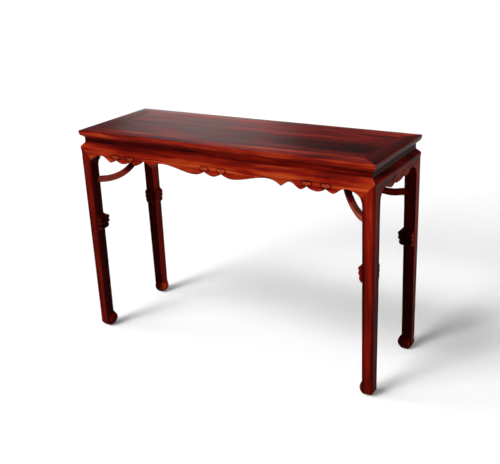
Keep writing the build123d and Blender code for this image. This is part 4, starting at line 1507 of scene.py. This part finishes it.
class ALTAR_TABLE_OT_studio(bpy.types.Operator):
    """Adds the floor, the soft lamps, the white surroundings and the camera"""

    bl_idname = "altar_table.studio"
    bl_label = "Studio"

    def execute(self, context):
        studio = context.scene.altar_table_studio
        floor = add_floor(studio)
        made = bpy.data.objects
        front_row = [made["moulded_front_rail"], made["carved_front_apron"], frame["nodes"]["waist_front"]]
        front_row += [made[f"carved_front_{side}_leg"] for side in ("left", "right")]
        front_row += [made[f"curved_front_{side}_brace"] for side in ("left", "right")]
        rear_legs = [made[f"carved_rear_{side}_leg"] for side in ("left", "right")]
        rear_row = rear_legs + [made[f"curved_rear_{side}_brace"] for side in ("left", "right")]
        wide, high, low = studio.softness, studio.high_softness, studio.low_softness
        lamps = [
            ("top_lamp", (-0.05, -0.32, 0.94), studio.top_strength, wide, "EXCLUDE", [floor, *rear_row]),
            ("front_lamp", (-0.12, -0.98, 0.08), studio.front_strength, wide, "INCLUDE", front_row),
            ("right_lamp", (0.93, 0.15, 0.33), studio.right_strength, wide, "EXCLUDE", [floor]),
            ("inner_lamp", (1.0, 0.06, 0.12), studio.inner_strength, wide, "INCLUDE", rear_legs),
            ("rear_lamp", (-0.55, 0.82, 0.15), studio.rear_strength, wide, "EXCLUDE", [floor]),
            ("floor_high_lamp", (-0.330, -0.473, 0.817), studio.floor_high, high, "INCLUDE", [floor]),
            ("floor_front_lamp", (-0.306, -0.848, 0.434), studio.floor_front, low, "INCLUDE", [floor]),
            ("floor_left_lamp", (-0.768, -0.277, 0.577), studio.floor_left, low, "INCLUDE", [floor]),
        ]
        for name, direction, strength, softness, state, pieces in lamps:
            flag(add_sun(name, direction, strength, softness), state, pieces)
        add_softbox("back_lamp", (-2.55, 3.4, 1.15), (-0.3, 0.0, 0.85), studio.back_power, 1.6)
        add_backdrop(studio)
        add_camera(studio)
        context.scene.view_settings.view_transform = "Standard"
        return {"FINISHED"}


class ALTAR_TABLE_PT_build(bpy.types.Panel):
    """Lists the table's pieces in the order in which they are built"""

    bl_label = "Altar Table"
    bl_idname = "ALTAR_TABLE_PT_build"
    bl_space_type = "VIEW_3D"
    bl_region_type = "UI"
    bl_category = "Altar Table"

    def draw(self, context):
        for operator in operators:
            self.layout.operator(operator.bl_idname)


operators = (
    ALTAR_TABLE_OT_top_frame,
    ALTAR_TABLE_OT_panel,
    ALTAR_TABLE_OT_aprons,
    ALTAR_TABLE_OT_legs,
    ALTAR_TABLE_OT_braces,
    ALTAR_TABLE_OT_joinery,
    ALTAR_TABLE_OT_studio,
)

settings = {
    "altar_table_top": TopSizes,
    "altar_table_apron": ApronSizes,
    "altar_table_leg": LegSizes,
    "altar_table_carving": CarvingSizes,
    "altar_table_brace": BraceSizes,
    "altar_table_rosewood": Rosewood,
    "altar_table_studio": Studio,
}


def register():
    for name, group in settings.items():
        bpy.utils.register_class(group)
        setattr(bpy.types.Scene, name, PointerProperty(type=group))
    for operator in operators:
        bpy.utils.register_class(operator)
    bpy.utils.register_class(ALTAR_TABLE_PT_build)


def unregister():
    bpy.utils.unregister_class(ALTAR_TABLE_PT_build)
    for operator in reversed(operators):
        bpy.utils.unregister_class(operator)
    for name, group in settings.items():
        delattr(bpy.types.Scene, name)
        bpy.utils.unregister_class(group)


def main():
    register()
    for operator in operators:
        getattr(bpy.ops.altar_table, operator.bl_idname.split(".")[1])()


if __name__ == "__main__":
    main()
